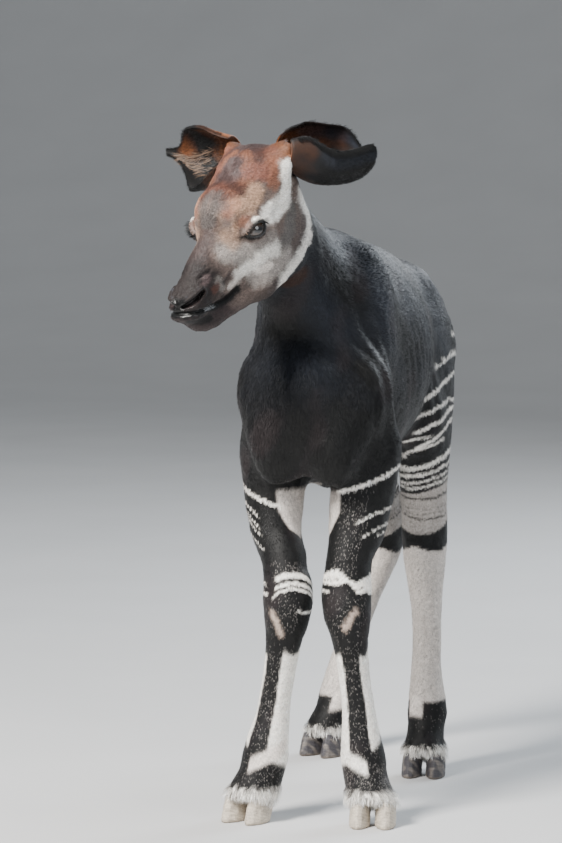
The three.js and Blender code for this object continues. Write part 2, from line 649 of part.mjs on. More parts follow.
// The head with its sockets, lids, nostrils and mouth
let head = solid(surface(union([[headField, 1], [neck, 24]]), [-180, -420, 760], [70, -60, 1070], STEP.head));
const globes = {};
for (const side of [-1, 1]) {
  const middle = onHead(side * EYE_OUT, -2, 0);
  const ball = (radius, across, round) =>
    solid(new THREE.SphereGeometry(radius, across, round).translate(middle.x, middle.y, middle.z));
  const way = onHead(side * Math.cos(rad(22)), -Math.sin(rad(22)), 0.06).sub(onHead(0, 0, 0)).normalize();
  const along = onHead(0, 1, 0).sub(onHead(0, 0, 0));
  const flat = along.addScaledVector(way, -along.dot(way)).normalize();
  const high = flat.clone().cross(way).multiplyScalar(-side).normalize();
  const almond = [];
  for (let i = 0; i < 16; i++) {
    const angle = (i / 16) * 2 * Math.PI;
    const a = 21 * Math.cos(angle);
    const b = (Math.sin(angle) > 0 ? 11 : 9) * Math.sin(angle) * (1 - 0.25 * Math.abs(Math.cos(angle)));
    almond.push([a, b - a * 0.1]);
  }
  const slot = [8, 46].map((reach) =>
    almond.map(([a, b]) => {
      const grow = 0.82 + 0.18 * (reach / 24);
      return middle.clone().addScaledVector(way, reach).addScaledVector(flat, a * grow)
        .addScaledVector(high, b * grow).toArray();
    }));
  head = head.add(ball(EYE + GAP + LID, 14, 10)).subtract(ball(EYE + GAP, 14, 10)).subtract(loft(slot));
  globes[side] = ball(EYE, 14, 10);
}
const NOSTRIL = { middle: [17.5, -144, -51.5], end: [9, -161, -57], sizes: [4.5, 19, 5.5] };
const WAY_IN = [[0, -186, -66], [0, -152, -67], [0, -128, -71], [0, -90, -75], [0, -58, -72]];
for (const side of [-1, 1]) {
  const [mx, my, mz] = NOSTRIL.middle, [ex, ey, ez] = NOSTRIL.end;
  const way = onHead(side * ex, ey, ez).sub(onHead(side * mx, my, mz)).normalize();
  const turn = new THREE.Quaternion().setFromUnitVectors(point(0, -1, 0), way);
  const at = onHead(side * mx, my, mz);
  const [sx, sy, sz] = NOSTRIL.sizes;
  const hole = new THREE.SphereGeometry(1, 12, 8).scale(sx * 1.8, sy, sz).applyQuaternion(turn);
  head = head.subtract(solid(hole.translate(at.x + side * 4, at.y, at.z)));
}
const MOUTH = 1.6; // how far the lips stand apart
head = head.subtract(loft(WAY_IN.map(([x, y, z], k) => {
  const half = k === WAY_IN.length - 1 ? 0.3 : MOUTH / 2;
  return [[-60, -half], [60, -half], [60, half], [-60, half]]
    .map(([across, rise]) => onHead(x + across, y, z + rise).toArray());
})));
head = head.intersect(beyond(NAPE_CUT, GAP / 2));

// The ears, each cut off the head by a plane across its root
const EARS = {
  left: {
    side: 1, out: [0.66, 0.74, -0.01], open: [0.05, -0.42, 0.9],
    stations: [
      [0, 0, 0, 25, 150, 0], [14, 0, 0, 36, 150, 0], [31, 0, 0, 45, 128, -6], [49, 0, 0, 50, 119, -9],
      [71, 0, 0, 51, 118, -8], [95, 0, 0, 49, 121, -5], [115, 0, 0, 43, 125, -1], [129, 0, -1, 33, 122, 0],
      [138, 0, -3, 19, 98, 0],
    ],
  },
  right: {
    side: -1, out: [-0.94, 0.24, -0.25], open: [0.1, -0.93, 0.3],
    stations: [
      [0, 0, 0, 24, 140, 0], [17, 1, 0, 34, 130, 0], [37, 3, 0, 44, 114, 0], [58, 5, 0, 50, 102, 0],
      [79, 9, -3, 48, 90, 0], [93, 16, -11, 39, 77, 0], [104, 24, -22, 26, 64, 0], [115, 33, -32, 14, 54, 0],
      [129, 41, -42, 9, 46, 0], [145, 49, -50, 6, 40, 0],
    ],
  },
};
// The room an ear's root needs in the neck: a little wider than the ear, and solid
function earRoom(base, out, open, stations) {
  const along = out.clone().normalize();
  const up = open.clone().addScaledVector(along, -open.dot(along)).normalize();
  const across = along.clone().cross(up);
  return loft(stations.map(([run, drift, lift, radius], k) => {
    const middle = base.clone().addScaledVector(along, k ? run : -12);
    middle.addScaledVector(across, drift).addScaledVector(up, lift);
    const row = [];
    for (let i = 0; i < 18; i++) {
      const angle = (i / 18) * 2 * Math.PI;
      row.push(middle.clone().addScaledVector(across, (radius + 1.5) * Math.sin(angle))
        .addScaledVector(up, -(radius + 1.5) * Math.cos(angle)).toArray());
    }
    return row;
  }));
}
for (const [name, { side, out, open, stations }] of Object.entries(EARS)) {
  const root = onHead(side * 50, 118, 74);
  const cut = { at: root.toArray(), way: out };
  const flat = block(root.clone().addScaledVector(point(...out).normalize(), 90).toArray(), out, [110, 110, 90 - GAP / 2]);
  head = head.subtract(flat);
  const shell = ear(root, point(...out), point(...open), stations, 4.5);
  nape = nape.subtract(earRoom(root, point(...out), point(...open), stations.slice(0, 6)));
  add(`ear_${name}`, shell.intersect(beyond(cut, GAP / 2)), earCoat);
}
add("neck", nape, dark);
add("head", head, face);
add("eye_left", globes[1], eyeWet);
add("eye_right", globes[-1], eyeWet);

// The part's origin is on the floor, under the middle of the whole calf
const middle = new THREE.Box3().setFromObject(calf).getCenter(new THREE.Vector3());
calf.position.set(-middle.x, -middle.y, 0);

export default calf;
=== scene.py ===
"""An okapi calf, life size: skin, markings, coat, eyes, ears and hooves round the solid model.

Lengths are millimetres in the calf's own frame (nose towards -Y, left side +X, floor at 0)
and become metres in the model's frame when a mesh is made.
"""

import math

import bmesh
import bpy
import numpy as np
from mathutils import Matrix, Vector

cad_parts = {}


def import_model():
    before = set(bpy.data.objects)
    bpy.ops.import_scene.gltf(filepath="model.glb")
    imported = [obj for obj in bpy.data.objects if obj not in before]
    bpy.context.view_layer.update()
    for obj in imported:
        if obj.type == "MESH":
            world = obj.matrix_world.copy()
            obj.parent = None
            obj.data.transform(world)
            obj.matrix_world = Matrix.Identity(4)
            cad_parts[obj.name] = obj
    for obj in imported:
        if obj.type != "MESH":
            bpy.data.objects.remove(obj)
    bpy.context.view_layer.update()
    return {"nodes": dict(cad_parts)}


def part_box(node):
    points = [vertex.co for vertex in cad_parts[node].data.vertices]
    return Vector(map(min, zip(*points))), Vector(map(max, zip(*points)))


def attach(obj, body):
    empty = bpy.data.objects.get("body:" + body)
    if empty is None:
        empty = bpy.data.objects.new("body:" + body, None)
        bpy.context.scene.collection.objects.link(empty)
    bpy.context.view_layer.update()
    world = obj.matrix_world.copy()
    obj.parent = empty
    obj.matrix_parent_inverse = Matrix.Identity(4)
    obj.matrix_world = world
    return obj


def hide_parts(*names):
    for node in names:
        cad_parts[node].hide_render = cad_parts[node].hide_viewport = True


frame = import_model()
nodes = frame["nodes"]
rng = np.random.default_rng(7)

# The head's pose and the places the rest is measured from
HEAD_AT = np.array([-58.0, -222.0, 910.0])
EYE = 19.0
EYE_AT = np.array([42.0, -2.0, 0.0])
HEAD_MIDDLE = np.array([0.0, -10.0, -10.0])


def turned(axis, degrees):
    return np.array(Matrix.Rotation(math.radians(degrees), 3, axis))


HEAD = turned("Z", -17) @ turned("X", 20.4) @ turned("Y", -1.4)
eye_low, eye_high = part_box("eye_left")
ORIGIN = (np.array(eye_low) + np.array(eye_high)) * 500 - (HEAD_AT + HEAD @ EYE_AT)


def world(points):
    return (np.asarray(points, float) + ORIGIN) / 1000


def to_head(points):
    return (points - HEAD_AT) @ HEAD


def from_head(points):
    return np.asarray(points, float) @ HEAD.T + HEAD_AT


def mirrored(h):
    """The head's frame with both sides on the left."""
    return np.stack([np.abs(h[:, 0]), h[:, 1], h[:, 2]], -1)


def from_middle(h):
    """Distance from the head's middle, for places in the head's frame."""
    return np.linalg.norm(h - HEAD_MIDDLE, axis=1)


def unit(v):
    return v / np.maximum(np.linalg.norm(v, axis=-1, keepdims=True), 1e-9)


def ramp(x, a, b):
    """0 below a, 1 above b, smooth between; a may be above b."""
    t = np.clip((x - a) / (b - a), 0, 1)
    return t * t * (3 - 2 * t)


def bump(x, middle, half):
    """1 at the middle, 0 beyond half either side."""
    return np.clip(1 - ((x - middle) / half) ** 2, 0, 1) ** 2


WAVES = 7


def noise(p, size, seed=0):
    """Smooth noise of about -1 to 1 whose lumps are about this size."""
    r = np.random.default_rng(seed + 100)
    total = np.zeros(len(p))
    for _ in range(WAVES):
        k = unit(r.normal(size=3)) * 2 * math.pi / size * r.uniform(0.6, 1.6)
        total += np.sin(p @ k + r.uniform(0, 7))
    return total / 3.2


# Colours, in linear light
BLACK = np.array([0.0016, 0.0017, 0.0023])
# A blue grey used only as painted sheen: on the body's top, on the nostrils' wings and along the left ear's
# rims
SHEEN_BLUE = np.array([0.03, 0.036, 0.052])
WHITE = np.array([0.83, 0.79, 0.73])
CREAM = np.array([0.66, 0.6, 0.55])
GREY = np.array([0.19, 0.175, 0.165])
CHESTNUT = np.array([0.1, 0.04, 0.028])
COPPER = np.array([0.2, 0.08, 0.046])
TAN = np.array([0.43, 0.27, 0.18])
RUST = np.array([0.2, 0.066, 0.02])
# A purplish grey: painted sheen on the top of the head and forehead, and also two small marks on the muzzle
MAUVE_AND_SHEEN = np.array([0.15, 0.105, 0.105])
UMBER = np.array([0.042, 0.029, 0.029])
FACE_BASE = np.array([0.135, 0.1, 0.086])

# The legs' middle lines: side and points from top to floor
LEGS = {
    "foreleg_left": (1, [(74, 62, 560), (72, 48, 500), (67, 35, 447), (61, 15, 404), (60, 4, 352),
                         (63, 0, 316), (68, 6, 255), (74, 12, 195), (79, 16, 134), (82, 18, 104),
                         (86, 14, 75), (96, 6, 48), (104, -4, 6)]),
    "foreleg_right": (-1, [(-72, 62, 560), (-66, 48, 500), (-60, 35, 443), (-40, 12, 401), (-30, -2, 348),
                           (-32, -3, 313), (-42, 3, 252), (-53, 7, 191), (-63, 5, 130), (-67, 2, 100),
                           (-72, -3, 71), (-84, -11, 44), (-92, -16, 6)]),
    "hindleg_left": (1, [(58, 520, 700), (62, 482, 612), (60, 490, 545), (56, 500, 480), (52, 520, 428),
                         (51, 528, 380), (52, 525, 345), (56, 513, 314), (60, 502, 283), (66, 487, 220),
                         (66, 480, 157), (69, 477, 125), (70, 472, 94), (70, 464, 71), (71, 450, 48),
                         (72, 440, 6)]),
    "hindleg_right": (-1, [(-58, 520, 700), (-64, 484, 612), (-60, 520, 545), (-53, 562, 490),
                           (-48, 606, 434), (-49, 638, 386), (-53, 646, 348), (-62, 640, 314),
                           (-71, 632, 283), (-90, 622, 220), (-107, 619, 157), (-114, 618, 125),
                           (-121, 616, 94), (-127, 610, 71), (-134, 600, 48), (-138, 590, 6)]),
}


def about_leg(name, p):
    """Distance from the leg's middle line, and the turn from its front to its outer side."""
    side, path = LEGS[name]
    line = np.array(sorted(path, key=lambda q: q[2]), float)
    cx = np.interp(p[:, 2], line[:, 2], line[:, 0])
    cy = np.interp(p[:, 2], line[:, 2], line[:, 1])
    deep = np.interp(p[:, 2], [420, 480, 545, 612], [1.2, 1.4, 1.63, 1.9]) if "hind" in name else 1.12
    dx, dy = (p[:, 0] - cx) * side, p[:, 1] - cy
    return np.hypot(dx, dy), np.degrees(np.arctan2(dx, -dy / deep))


def which_leg(p):
    """The index of the nearest leg for each point, or -1 above the legs."""
    far = np.array([about_leg(name, p)[0] for name in LEGS])
    best = far.argmin(0)
    fore = best < 2
    top = np.where(fore, 575, 730)
    return np.where((p[:, 2] < top) & (far.min(0) < np.where(fore, 85, 130)), best, -1)


def paint(colour, mask, ink):
    m = np.clip(mask, 0, 1)[:, None]
    return colour * (1 - m) + ink * m


def wrap(a):
    return (a + 180) % 360 - 180


# A stripe: its height where the turn is 16, 106 and -74 degrees, half its width, and the turns
# that it runs between
FORE_STRIPES = {
    1: [(517, 545, 508, 3.0, -30, 130), (462, 479, 430, 1.5, 14, 125), (432, 456, 400, 1.5, 31, 120),
        (425, 443, 400, 1.0, 66, 96), (356, 352, 357.5, 1.2, -78, -32)],
    -1: [(495, 519, 478, 2.6, -28, 125), (465, 490, 430, 1.4, 20, 115), (447, 478, 410, 1.4, 20, 115),
         (436, 466, 400, 1.2, 22, 115), (410, 440, 375, 1.2, 30, 115), (371.6, 323.5, 372.5, 3.8, -122, 8),
         (359, 311, 360, 2.7, -122, 12), (351, 303, 352, 1.9, -122, 22), (365, 366, 365, 1.4, 42, 140),
         (352, 352, 352, 2.2, 40, 140), (334, 340, 324.5, 1.4, -98, -42)],
}
HIND_STRIPES = [
    (702, 714, 690, 1.8, 86, 165), (655, 682, 620, 2.4, 40, 168), (613, 652, 585, 3.1, 22, 170),
    (590, 610, 560, 2.3, 14, 170), (566, 597, 550, 3.1, 8, 176), (540, 580, 525, 2.7, 4, 182),
    (553, 560, 535, 1.5, -14, 34), (535.5, 553, 518, 2.1, -60, 64), (526, 530, 513, 1.3, -84, -20),
    (503.5, 529, 506, 3.9, -140, 212), (490, 510, 492, 2.3, -180, 180), (478.5, 496, 480, 1.7, -180, 180),
    (469.5, 485, 472, 1.7, -180, 180),
]
HIND_LINES = [(449, 462, 459, 1.8), (431, 441, 441, 0.8), (423, 433, 434, 0.8), (415, 425, 428, 1.2)]


def curve(turn, at, outer, inner):
    """A height that swings round the leg through three given heights."""
    a = np.radians(turn - 16)
    return at + (outer - inner) / 2 * np.sin(a) + ((outer + inner) / 2 - at) * (1 - np.cos(a))


def stripe(z, turn, at, outer, inner, half, first=-180, last=180):
    middle, reach = (first + last) / 2, (last - first) / 2
    window = ramp(np.abs(wrap(turn - middle)), reach + 6, reach - 4) if reach < 180 else 1
    taper = 0.65 + 0.35 * window
    return ramp(np.abs(z - curve(turn, at, outer, inner)), half * taper + 0.8, half * taper - 0.8) * window


def cannon_front(z, turn):
    """1 on the pale sides and back of the cannon, 0 on its dark front."""
    return ramp(np.abs(wrap(turn - 12)) + 1.5 * np.sin(z / 17), 30, 35)


# The width of one degree of turn below the knee
KNEE_ARC = 0.63


def foreleg_colour(p, turn, side, colour):
    z = p[:, 2] + 0.8 * noise(p, 26, 3)
    border = np.interp(z, [434, 445, 460, 475, 500], [-69, -47, -32, -22, -18])
    patch = ramp(turn, border, border - 7) * ramp(turn, -165, -140) * ramp(z, 430, 438) * ramp(z, 511, 503)
    colour = paint(colour, patch, CREAM * 0.92)
    for row in FORE_STRIPES[side]:
        colour = paint(colour, stripe(z, turn, *row), WHITE)
    if side > 0:
        turns = [-180, -120, -58, -26, -11, 9, 21, 41, 90, 140, 180]
        high = np.interp(turn, turns, [372, 376, 385, 391, 391, 382, 376.5, 374, 383, 378, 372])
        low = np.interp(turn, turns, [366, 366, 370, 369, 369, 372, 372.5, 357, 354, 360, 366])
        colour = paint(colour, ramp(z, low - 1, low + 1) * ramp(z, high + 1, high - 1), WHITE)
        colour = paint(colour, stripe(z, turn, 377, 377, 377, 1.2, -56, -6), BLACK)
        colour = paint(colour, stripe(z, turn, 362, 366, 362, 1.0, 26, 60), BLACK)
    tuft = [(304, 6), (317, 22), (329, 36)] if side > 0 else [(323, 23), (309, 9), (292, -5)]
    path = np.array([(0, KNEE_ARC * t, h) for h, t in tuft], float)
    far = along_path(np.stack([z * 0, KNEE_ARC * turn, z], -1), path)[0]
    colour = paint(colour, ramp(far + 2 * noise(p, 7, 17), 9, 0) * 0.75, TAN * 0.6 + CREAM * 0.5)
    cannon = ramp(z, 268 + 6 * np.cos(np.radians(turn * 3)), 256)
    cannon = cannon * ramp(z, 100 + 0.25 * turn, 112 + 0.25 * turn)
    colour = paint(colour, cannon * cannon_front(z, turn), WHITE)
    hook = bump(z + 0.28 * turn, 97, 17) * ramp(turn, -95, -60) * ramp(turn, 30, 20)
    colour = paint(colour, hook * 1.6, WHITE if side > 0 else CREAM)
    return colour


def hindleg_colour(p, turn, side, colour):
    z = p[:, 2] + 0.9 * noise(p, 32, 5) + (20 * ramp(p[:, 2], 570, 480) if side < 0 else 0)
    for row in HIND_STRIPES:
        colour = paint(colour, stripe(z, turn, *row), WHITE * 0.93)
    top = curve(turn, 461, 479, 463)
    foot = curve(turn, 389, 411, 405)
    pale = ramp(z, top + 0.8, top - 0.8) * ramp(z, foot - 1, foot + 1)
    colour = paint(colour, pale, CREAM * 0.55)
    for row in HIND_LINES:
        colour = paint(colour, stripe(z, turn, *row) * (0.95 if row[3] > 1 else 0.6), BLACK)
    hock = 364 + 3.5 * np.cos(np.radians(turn * 3 + 40))
    colour = paint(colour, ramp(z, hock + 1.2, hock - 1.2) * ramp(z, 119, 124), CREAM * 0.8)
    notch = ramp(z, 92, 104) * ramp(z, 134, 124) * ramp(turn, 4, -4) * ramp(turn, -60, -50)
    return paint(colour, notch, CREAM)


def pale_glint_share(p, leg, turn):
    """How many of the dark hairs are pale, from 0 to 1: partly pale hairs, partly painted glints of light,
    most on the legs' fronts.
    """
    z = p[:, 2]
    front = ramp(np.abs(wrap(turn - 10)), 75, 35)
    if leg == 0:
        much = 0.3 * ramp(z, 372, 395) * ramp(z, 520, 480) * ramp(np.abs(wrap(turn - 6)), 38, 18)
    else:
        much = 0.5 * ramp(z, 360, 372) * ramp(z, 406, 396) * ramp(np.abs(wrap(turn + 28)), 52, 38)
    much = much + front * (0.25 * bump(z, 320, 52) + 0.24 * ramp(z, 290, 250) * ramp(z, 100, 120))
    pastern = ramp(z, 108, 88) * (0.5 if leg == 0 else 0.3)
    return 1.7 * (much + pastern) if leg < 2 else 0.1 * ramp(z, 130, 110)


# Ink on the face, some of it painted sheen, in the head's frame with x mirrored: a path, how far it reaches,
# colour, strength
FACE = [
    ([(30, 60, 30), (30, -120, -40)], 95, FACE_BASE, 1.0),
    # Painted sheen on the top of the head, between the ears
    ([(0, 110, 92), (0, 74, 100)], 44, MAUVE_AND_SHEEN * 0.4, 0.9),
    ([(44, 98, 78), (56, 104, 70)], 20, RUST * 0.7, 0.85),
    ([(36, 92, 84), (46, 72, 74), (50, 56, 58)], 11, CHESTNUT * 1.5, 0.85),
    ([(8, 64, 84), (12, 2, 60)], 34, CHESTNUT * 0.55, 0.95),
    # The next two rows: painted sheen along the top of the head and forehead
    ([(0, 100, 96), (0, 62, 98), (4, 30, 82)], 22, MAUVE_AND_SHEEN * 0.32, 0.75),
    ([(16, 52, 86), (20, 26, 70)], 8, MAUVE_AND_SHEEN * 0.5, 0.5),
    ([(44, 84, 72), (52, 62, 48)], 12, COPPER * 0.9, 0.8),
    ([(30, -62, -12), (36, -40, -22), (46, -24, -30)], 16, CREAM * 0.5, 0.75),
    ([(24, -44, 4), (30, -40, -6)], 12, TAN * 0.75, 0.6),
    ([(10, 66, 92), (20, 58, 90), (24, 40, 80)], 9, COPPER * 0.85, 0.8),
    ([(26, 24, 62), (34, 34, 62)], 9, COPPER * 0.7, 0.6),
    ([(-4, 4, 66), (6, -6, 60)], 10, CHESTNUT, 0.8),
    ([(40, 54, 66), (30, 44, 68)], 13, CHESTNUT * 1.5, 0.85),
    ([(43, 28, 46), (44, 4, 36), (34, -14, 38)], 13, TAN * 0.9, 0.85),
    ([(20, -6, 50), (30, -14, 40), (24, -30, 34)], 9, COPPER * 1.3, 0.5),
    ([(12, -36, 30), (10, -60, 12)], 9, TAN * 0.45, 0.5),
    ([(56, 84, -6), (57, 68, -30), (58, 46, -44)], 15, GREY * 0.6, 0.9),
    ([(58, 20, -26), (50, -8, -30), (38, -34, -32)], 15, CREAM * 0.42, 0.6),
    ([(57, 46, -64), (54, 12, -70), (42, -18, -70)], 15, CREAM * 0.55, 0.75),
    ([(30, -46, -54), (42, -14, -50), (52, 4, -42), (57, 24, -42)], 11, WHITE * 0.95, 0.9),
    ([(26, -66, -64), (38, -30, -66), (50, 10, -62)], 6, CREAM * 1.1, 0.7),
    ([(62, 92, 58), (60, 90, 32), (57, 74, 14), (55, 48, 9), (57, 24, 10)], 15, WHITE, 0.97),
    ([(57, 26, 12), (61, 8, 13), (57, -8, 16)], 6.5, WHITE, 0.95),
    ([(47, -18, 20), (40, -28, 17)], 9, COPPER * 0.6, 0.85),
    ([(36, -34, 10), (30, -22, 26)], 7, TAN, 0.5),
    ([(47, 122, 0), (41, 139, -31), (44, 133, -52), (48, 119, -70), (53, 92, -80), (54, 66, -87),
      (47, 38, -97)], 15, WHITE * 0.85, 1.0),
    ([(0, -44, 24), (0, -80, -2), (6, -106, -14)], 17, UMBER * 0.8, 0.85),
    ([(6, -14, 58), (8, -36, 46), (5, -50, 24)], 7, GREY * 0.4, 0.6),
    ([(12, -112, -40), (12, -152, -56)], 36, UMBER * 0.2, 0.97),
    ([(26, -92, -46), (27, -84, -56)], 8, CREAM * 0.3, 0.8),
    ([(27, -104, -54), (27, -96, -52)], 6.5, CHESTNUT * 0.8, 0.8),
    ([(22, -108, -34), (18, -118, -40)], 6, MAUVE_AND_SHEEN * 0.6, 0.6),
    ([(20, -95, -96), (8, -150, -88)], 24, UMBER * 0.7, 0.97),
    ([(12, 0, -116), (18, -80, -108)], 16, UMBER * 1.2, 0.8),
    ([(4, -161, -52), (0, -163, -62)], 10, BLACK, 0.95),
    ([(4, -162, -67), (16, -156, -69), (25, -140, -70), (26, -120, -74), (24, -95, -78), (26, -70, -78),
      (28, -50, -74)], 6.5, BLACK * 0.7, 0.97),
    ([(10, -152, -80), (20, -124, -88)], 9, BLACK * 0.8, 0.9),
    # Painted sheen along the wing above each nostril
    ([(21, -134, -43), (13, -151, -48)], 3, SHEEN_BLUE * 2.4, 0.75),
    ([(21, -136, -56), (13, -152, -60)], 1.6, MAUVE_AND_SHEEN * 1.5, 0.7),
    ([(31, -62, -46), (27, -82, -52)], 4.5, UMBER * 0.7, 0.8),
]
# Where the face's colours end: a height and how far back
REAR_EDGE = np.array([(-130, 30), (-98, 50), (-88, 78), (-81, 104), (-71, 134), (-52, 150), (-31, 157),
                      (0, 141), (40, 124), (90, 138)], float)


def face_colour(p, colour):
    h = to_head(p)
    q = mirrored(h)
    fuzzy = noise(p, 15, 8) * 1.8 + noise(p, 6, 9) * 1.5 + noise(p, 2.8, 10)
    edge = np.interp(q[:, 2], REAR_EDGE[:, 0], REAR_EDGE[:, 1])
    on = ramp(q[:, 1] - edge + fuzzy, 3, -4)
    for path, reach, ink, strength in FACE:
        far = along_path(q, np.array(path, float))[0] + fuzzy * min(1, reach / 12)
        soft = 0.36 if ink is WHITE else 0.5
        colour = paint(colour, ramp(far, reach * (1 + soft), reach * (1 - soft)) * strength * on, ink)
    socket = np.linalg.norm(q - EYE_AT, axis=1)
    a, b = almond_place(h, np.sign(h[:, 0]))
    lids = ramp(almond_gap(a, b), 4.6, 1.6) * ramp(socket, 34, 27)
    colour = paint(colour, lids * 0.92, BLACK)
    tear = along_path(q, np.array([(52.0, -19, -4), (46, -27, -11), (42, -33, -20)]))[0]
    colour = paint(colour, ramp(tear, 6.5, 3) * 0.85, BLACK * 1.3)
    # A painted highlight, tan, along the crest above the tear duct
    crest_highlight = along_path(q, np.array([(47.0, -26, 3), (41, -36, -9)]))[0]
    colour = paint(colour, ramp(crest_highlight, 3.4, 1.4) * 0.8, TAN)
    throat = np.linalg.norm((q - (26, 86, -112)) / (26, 36, 20), axis=1)
    return paint(colour, ramp(throat, 1.1, 0.7) * 0.7, RUST * 0.16)


def coat_colour(p):
    """The coat's colour at points of the skin, with painted sheen on the body's top and on the face."""
    colour = BLACK[None] * (1 + 0.25 * noise(p, 40, 2)[:, None])
    # Painted sky sheen, blue grey, stronger towards the top of the body
    colour = paint(colour, (0.25 + 0.3 * noise(p, 150, 1)) * ramp(p[:, 2], 600, 760), SHEEN_BLUE * 0.7)
    colour = paint(colour, 0.3 * ramp(noise(p, 90, 18), 0.2, 1.2), UMBER * 0.8)
    head = ramp(from_middle(to_head(p)), 215, 200)
    near = head > 0
    if near.any():
        colour[near] = face_colour(p[near], colour[near])
    legs = which_leg(p)
    for k, name in enumerate(LEGS):
        mine = legs == k
        if mine.any():
            side = LEGS[name][0]
            turn = about_leg(name, p[mine])[1]
            tint = (foreleg_colour if k < 2 else hindleg_colour)(p[mine], turn, side, colour[mine])
            z = p[mine, 2] + 2.5 * noise(p[mine], 14, 12)
            colour[mine] = paint(tint, ramp(z, 58 if k < 2 else 54, 50), WHITE)
    mottle = 1 + 0.12 * noise(p, 5, 14) + 0.1 * noise(p, 2.6, 15)
    return np.clip(colour * mottle[:, None], 0.003, 0.9)


# The eyes' openings: a lens on the eyeball, seen along its own axis
OUT, FORWARD = math.cos(math.radians(22)), -math.sin(math.radians(22))
LENS_LEAN = 0.16


def eye_axes(side):
    way = unit(np.stack([side * OUT, side * 0 + FORWARD, side * 0 + 0.06], -1))
    along = np.array([0.0, 1.0, 0.0]) - way * way[..., 1:2]
    along = unit(along)
    high = np.cross(way, along) * np.asarray(side)[..., None]
    return way, along, high


def eye_middle(side):
    return np.stack([side * EYE_AT[0], side * 0 + EYE_AT[1], side * 0 + EYE_AT[2]], -1)


def almond_place(h, side):
    """Where a place lies on the opening: along it and up from its middle."""
    middle = eye_middle(side)
    way, along, high = eye_axes(side)
    u = unit(h - middle)
    a = (u * along).sum(-1) * EYE
    b = (u * high).sum(-1) * EYE
    behind = (u * way).sum(-1) < 0
    over = a * math.cos(LENS_LEAN) + b * math.sin(LENS_LEAN)
    rise = b * math.cos(LENS_LEAN) - a * math.sin(LENS_LEAN)
    return np.where(behind, over * 3, over), np.where(behind, rise * 3, rise)


# Half the opening's length
LENS = 16.6


def lens_top(a):
    return 8.2 * (1 - (a / LENS) ** 2) * (1 + 0.012 * a)


def lens_low(a):
    return -6.6 * (1 - (a / LENS) ** 2)


def almond_gap(a, b):
    """How far outside the opening, in millimetres; negative inside."""
    return np.maximum(b - lens_top(a), lens_low(a) - b) * 0.8


# Meshes
def added(name, data):
    """A mesh, light or camera as an object of the scene."""
    piece = bpy.data.objects.new(name, data)
    bpy.context.scene.collection.objects.link(piece)
    return piece


def make(name, points, faces):
    mesh = bpy.data.meshes.new(name)
    mesh.from_pydata(world(points).tolist(), [], [tuple(f) for f in faces])
    mesh.validate()
    mesh.shade_smooth()
    return added(name, mesh)


def set_colour(mesh, colour):
    layer = mesh.attributes.new("coat", "FLOAT_COLOR", "POINT")
    full = np.ones((len(colour), 4), np.float32)
    full[:, :3] = colour
    layer.data.foreach_set("color", full.ravel())


def places(mesh):
    co = np.empty(len(mesh.vertices) * 3)
    mesh.vertices.foreach_get("co", co)
    return co.reshape(-1, 3) * 1000 - ORIGIN


def normals(mesh):
    no = np.empty(len(mesh.vertices) * 3, np.float32)
    mesh.vertex_normals.foreach_get("vector", no)
    return no.reshape(-1, 3).astype(float)


def put(mesh, points):
    mesh.vertices.foreach_set("co", world(points).astype(np.float32).ravel())
    mesh.update()


def edge_list(mesh):
    e = np.empty(len(mesh.edges) * 2, np.int32)
    mesh.edges.foreach_get("vertices", e)
    return e.reshape(-1, 2)


def relax(points, edges, weight, rounds, back=0.52):
    """Evens out lumps and keeps the volume."""
    a, b = edges.T
    n = len(points)
    count = np.bincount(a, minlength=n) + np.bincount(b, minlength=n)
    count = np.maximum(count, 1)
    for _ in range(rounds):
        for step in (0.5, -back):
            mean = np.stack([np.bincount(a, points[b, k], n) + np.bincount(b, points[a, k], n)
                             for k in range(3)], -1) / count[:, None]
            points = points + (mean - points) * step * weight[:, None]
    return points


def joined(names, grow):
    """The nodes' solids as one mesh, each a little grown so that they run together."""
    whole = bmesh.new()
    for name in names:
        one = bmesh.new()
        one.from_mesh(nodes[name].data)
        bmesh.ops.remove_doubles(one, verts=one.verts, dist=1e-5)
        one.normal_update()
        for v in one.verts:
            v.co += v.normal * grow
        part = bpy.data.meshes.new("part")
        one.to_mesh(part)
        one.free()
        whole.from_mesh(part)
        bpy.data.meshes.remove(part)
    mesh = bpy.data.meshes.new("joined")
    whole.to_mesh(mesh)
    whole.free()
    return mesh


def remeshed(mesh, voxel, name):
    piece = added(name, mesh)
    mod = piece.modifiers.new("even", "REMESH")
    mod.mode = "VOXEL"
    mod.voxel_size = voxel
    bpy.context.view_layer.update()
    dg = bpy.context.evaluated_depsgraph_get()
    fine = bpy.data.meshes.new_from_object(piece.evaluated_get(dg))
    bpy.data.objects.remove(piece)
    fine.name = name
    return fine


def refine(mesh, wanted):
    """Halves the edges whose two ends are both wanted."""
    bm = bmesh.new()
    bm.from_mesh(mesh)
    keep = wanted(places(mesh))
    edges = [e for e in bm.edges if keep[e.verts[0].index] and keep[e.verts[1].index]]
    bmesh.ops.subdivide_edges(bm, edges=edges, cuts=1, use_grid_fill=True)
    bm.to_mesh(mesh)
    bm.free()


# The skin: the flesh nodes as one surface
LEG_PARTS = [f"{leg}_{part}" for leg in LEGS for part in ("upper", "shank", "foot")]
FLESH = ["torso", "neck", "head", "tail"] + LEG_PARTS
VOXEL = 0.0078


def muzzle(q):
    """Where the lids, nose and lips are."""
    m = mirrored(to_head(q))
    lids = np.linalg.norm(m - EYE_AT - (12, -6, 0), axis=1) < 25
    nose = np.linalg.norm((m - (14, -144, -56)) / (24, 34, 28), axis=1) < 1
    lips = (np.abs(m[:, 2] - mouth_line(m[:, 1])) < 8) & (m[:, 1] < -50)
    return lids | nose | lips


